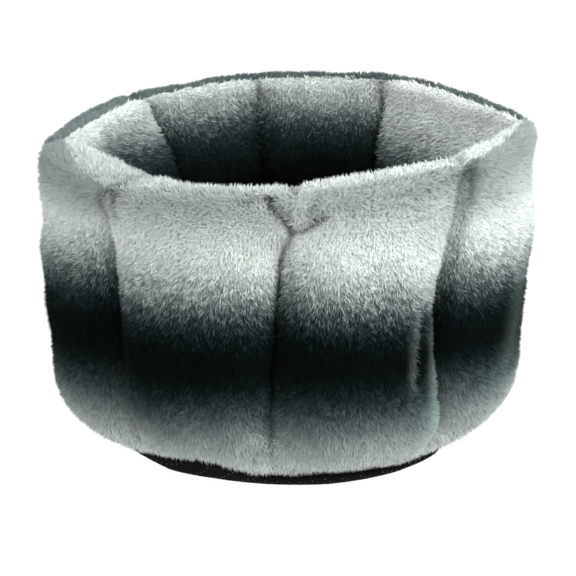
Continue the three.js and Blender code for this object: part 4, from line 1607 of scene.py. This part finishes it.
filling_finish = fibrous("fibre filling", (0.6, 0.6, 0.57), (0.9, 0.9, 0.87), 0.006)
foam_finish = fibrous("foam", (0.62, 0.58, 0.48), (0.82, 0.79, 0.7), 0.002)

# %% [markdown]
# The base cloth carries rows of small pale grips. They sit on a staggered lattice in the plane
# of the cut cloth, so the tree samples the base by its flat UV map: each lattice point finds its
# place and normal on the dish, and a low dome of few faces is set there.

# %% Grip dots
GRIP_SPACING = 0.0095
GRIP_RADIUS = 0.0006
GRIP_MARGIN = 0.003
GRIP_FACES = 20


def underside_sheet():
    """The open underside with a UV map of the flat cloth: distance along it, and bearing."""
    line = np.array(dish_line(HEM_RADIUS, 0.0, hem_seat))
    walked = np.concatenate([[0], np.cumsum(np.hypot(*np.diff(line, axis=0).T))])
    bearings = np.linspace(0, 2 * math.pi, ROUND_STEPS + 1)[None, :]
    radius, height = gathered(line[:, :1], line[:, 1:], bearings)
    grid = round_points(radius, height, bearings)
    flat = walked[:, None, None] * np.stack([np.sin(bearings), np.cos(bearings)], -1)
    mesh = mesh_of("underside", grid, grid_faces(*grid.shape[:2]))
    plan = mesh.uv_layers.new(name="plan")
    corners = [loop.vertex_index for loop in mesh.loops]
    plan.data.foreach_set("uv", (flat.reshape(-1, 2)[corners] + 0.5).ravel())
    return new_object("underside", mesh), float(walked[-1])


def build_grip_tree():
    """Sets a low dome on the cloth at each point of a flat lattice whose odd rows are offset."""
    tree = bpy.data.node_groups.new("grip dots", "GeometryNodeTree")
    add_sockets(tree, "INPUT", {
        "Cloth": "NodeSocketGeometry", "Finish": "NodeSocketMaterial", "Reach": "NodeSocketFloat",
        "Spacing": "NodeSocketFloat", "Radius": "NodeSocketFloat"})
    add_sockets(tree, "OUTPUT", {"Dots": "NodeSocketGeometry"})
    given = add_node(tree, "NodeGroupInput").outputs
    wide = do_math(tree, "MULTIPLY", given["Reach"], 2.0)
    count = do_math(tree, "FLOOR", do_math(tree, "DIVIDE", wide, given["Spacing"]))
    high_count = do_math(tree, "MULTIPLY", count, 2.0)
    lattice = add_node(tree, "GeometryNodeMeshGrid", [wide, wide, count, high_count]).outputs[0]
    position = add_node(tree, "GeometryNodeInputPosition").outputs[0]
    part = add_node(tree, "ShaderNodeSeparateXYZ", [position]).outputs
    half = do_math(tree, "MULTIPLY", given["Spacing"], 0.5)
    row = do_math(tree, "ROUND", do_math(tree, "DIVIDE", part[1], half))
    odd = do_math(tree, "FLOORED_MODULO", row, 2.0)
    shifted = do_math(tree, "MULTIPLY_ADD", odd, half, part[0])
    flat = add_node(tree, "ShaderNodeCombineXYZ", [shifted, part[1], 0.0]).outputs[0]
    spot = do_vectors(tree, "ADD", flat, (0.5, 0.5, 0.0))
    plan = named(tree, "plan", "FLOAT_VECTOR")
    found = []
    for value in (position, add_node(tree, "GeometryNodeInputNormal").outputs[0]):
        sampler = add_node(tree, "GeometryNodeSampleUVSurface", data_type="FLOAT_VECTOR")
        tree.links.new(given["Cloth"], sampler.inputs["Mesh"])
        tree.links.new(value, sampler.inputs["Value"])
        tree.links.new(plan, sampler.inputs["UV Map"])
        tree.links.new(spot, sampler.inputs["Sample UV"])
        found.append(sampler.outputs)
    inside = do_math(tree, "LESS_THAN", do_vectors(tree, "LENGTH", flat), given["Reach"])
    both = do_math(tree, "MULTIPLY", inside, found[0]["Is Valid"])
    turn = add_node(
        tree, "FunctionNodeAlignRotationToVector", {"Vector": found[1]["Value"]}, axis="Z")
    chosen = {"Mesh": lattice, "Selection": both}
    points = add_node(tree, "GeometryNodeMeshToPoints", chosen).outputs[0]
    points = stored(tree, points, "turning", turn.outputs[0], "QUATERNION")
    moved = {"Geometry": points, "Position": found[0]["Value"]}
    points = add_node(tree, "GeometryNodeSetPosition", moved).outputs[0]
    dome = add_node(tree, "GeometryNodeMeshIcoSphere", [given["Radius"], 1]).outputs["Mesh"]
    placed = add_node(tree, "GeometryNodeInstanceOnPoints", {
        "Points": points, "Instance": dome, "Scale": (1.0, 1.0, 0.5),
        "Rotation": named(tree, "turning", "QUATERNION")})
    real = add_node(tree, "GeometryNodeRealizeInstances", [placed.outputs[0]]).outputs[0]
    done = add_node(
        tree, "GeometryNodeSetMaterial", {"Geometry": real, "Material": given["Finish"]})
    add_node(tree, "NodeGroupOutput", [done.outputs[0]])
    return tree


grip_finish, grip_nodes, grip_shader = new_material("grip dots", roughness=0.6, specular=0.4)
grip_cloud = cloudy(grip_nodes, object_place(grip_nodes), 60.0, 2.0)
two_tone(grip_nodes, grip_shader, grip_cloud, (0.10, 0.11, 0.105), (0.20, 0.22, 0.21))
underside, cloth_reach = underside_sheet()
grips = grow(
    "grip_dots", underside, grip_finish, tree=build_grip_tree(), Reach=cloth_reach - GRIP_MARGIN,
    Spacing=GRIP_SPACING, Radius=GRIP_RADIUS)
bpy.data.objects.remove(underside)
print("grip dots:", len(grips.data.polygons) // GRIP_FACES)

# %% [markdown]
# Now every piece takes its finish, rides on its CAD body and stands for its CAD solid.

# %% Dress the frame
FINISHES = {
    "outer": (outer_backing, "outer_fur"),
    "inner": (inner_backing, "inner_fur"),
    "filling": (filling_finish, "filling"),
    "web": (lining_finish, "lining"),
}


def dress(piece, body, finish=None, nodes=()):
    if finish is not None:
        piece.data.materials.clear()
        piece.data.materials.append(finish)
    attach(piece, body)
    if nodes:
        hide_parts(*nodes)


for piece, node, kind in channel_pieces:
    finish, slot_name = FINISHES[kind]
    dress(piece, "tub", finish, [node])
    if kind == "web":
        grid = web_side(int(node[-1]) - 1, 0)
        length = float(np.linalg.norm(np.diff(grid.mean(axis=1), axis=0), axis=-1).sum())
for piece, face in piles:
    dress(piece, "tub")
dress(base_cloth, "tub", base_finish, ["base_cloth"])
dress(grips, "tub")
dress(base_foam, "tub", foam_finish, ["base_pad"])
dress(floor_cloth, "tub", lining_finish, ["floor_lining"])
dress(cushion_top, "cushion", cushion_backing, ["cushion_top"])
dress(cushion_pile, "cushion")
dress(cushion_under, "cushion", lining_finish, ["cushion_bottom"])
dress(cushion_stuffing, "cushion", filling_finish, ["cushion_fill"])

# %% [markdown]
# The picture is taken from the front, about 14 degrees above the rim, from nearly four metres
# away through a long lens. The bed stands on plain white, so the floor is close to white and
# the light is broad and soft, and stronger from the right.

# %% Camera
RIM_CENTRE = Vector((AXIS_X, AXIS_Y, 0.280))
VIEW_ELEVATION = math.radians(13.8)
VIEW_DISTANCE = 3.78
PICTURE_WIDTH = 576
FOCAL_PIXELS = 4447
RIM_PIXEL = (289, 127)
SENSOR = 0.036

camera_data = bpy.data.cameras.new("camera")
camera_data.sensor_width = SENSOR * 1000
camera_data.lens = FOCAL_PIXELS / PICTURE_WIDTH * SENSOR * 1000
camera_data.clip_end = 50
camera = new_object("camera", camera_data)
towards = Vector((0, math.cos(VIEW_ELEVATION), -math.sin(VIEW_ELEVATION)))
camera.location = RIM_CENTRE - towards * VIEW_DISTANCE
tilt = VIEW_ELEVATION + math.atan((PICTURE_WIDTH / 2 - RIM_PIXEL[1]) / FOCAL_PIXELS)
pan = math.atan((RIM_PIXEL[0] - PICTURE_WIDTH / 2) / FOCAL_PIXELS)
camera.rotation_euler = (math.pi / 2 - tilt, 0, pan)
bpy.context.scene.camera = camera

# %% Light and floor
BED_MIDDLE = Vector((0, 0, 0.14))


def soft_light(name, place, size, power):
    """A square lamp that faces the middle of the bed."""
    data = bpy.data.lights.new(name, "AREA")
    data.size = size
    data.energy = power
    lamp = new_object(name, data)
    lamp.location = place
    aim = BED_MIDDLE - Vector(place)
    lamp.rotation_mode = "QUATERNION"
    lamp.rotation_quaternion = aim.to_track_quat("-Z", "Y")


soft_light("key light", (2.0, -2.0, 1.5), size=1.4, power=84)
soft_light("fill light", (-1.6, -2.0, 1.3), size=1.6, power=17)
soft_light("top light", (0.1, 0.2, 2.3), size=1.4, power=30)

world = bpy.data.worlds.new("studio")
world.use_nodes = True
background = world.node_tree.nodes["Background"]
background.inputs["Color"].default_value = (1, 1, 1, 1)
background.inputs["Strength"].default_value = 1.05
bpy.context.scene.world = world
bpy.context.scene.view_settings.view_transform = "Standard"

FLOOR_REACH = 30.0
corners = [(-FLOOR_REACH, -FLOOR_REACH), (FLOOR_REACH, -FLOOR_REACH),
           (FLOOR_REACH, FLOOR_REACH), (-FLOOR_REACH, FLOOR_REACH)]
floor_mesh = mesh_of("floor", [(x, y, 0) for x, y in corners], [(0, 1, 2, 3)])
floor = new_object("floor", floor_mesh)
floor_finish, _, floor_shader = new_material("pale floor", roughness=0.9, specular=0.1)
floor_shader.inputs["Base Color"].default_value = (0.10, 0.10, 0.10, 1)
floor_shader.inputs["Emission Color"].default_value = (1, 1, 1, 1)
floor_shader.inputs["Emission Strength"].default_value = 0.97
floor_mesh.materials.append(floor_finish)
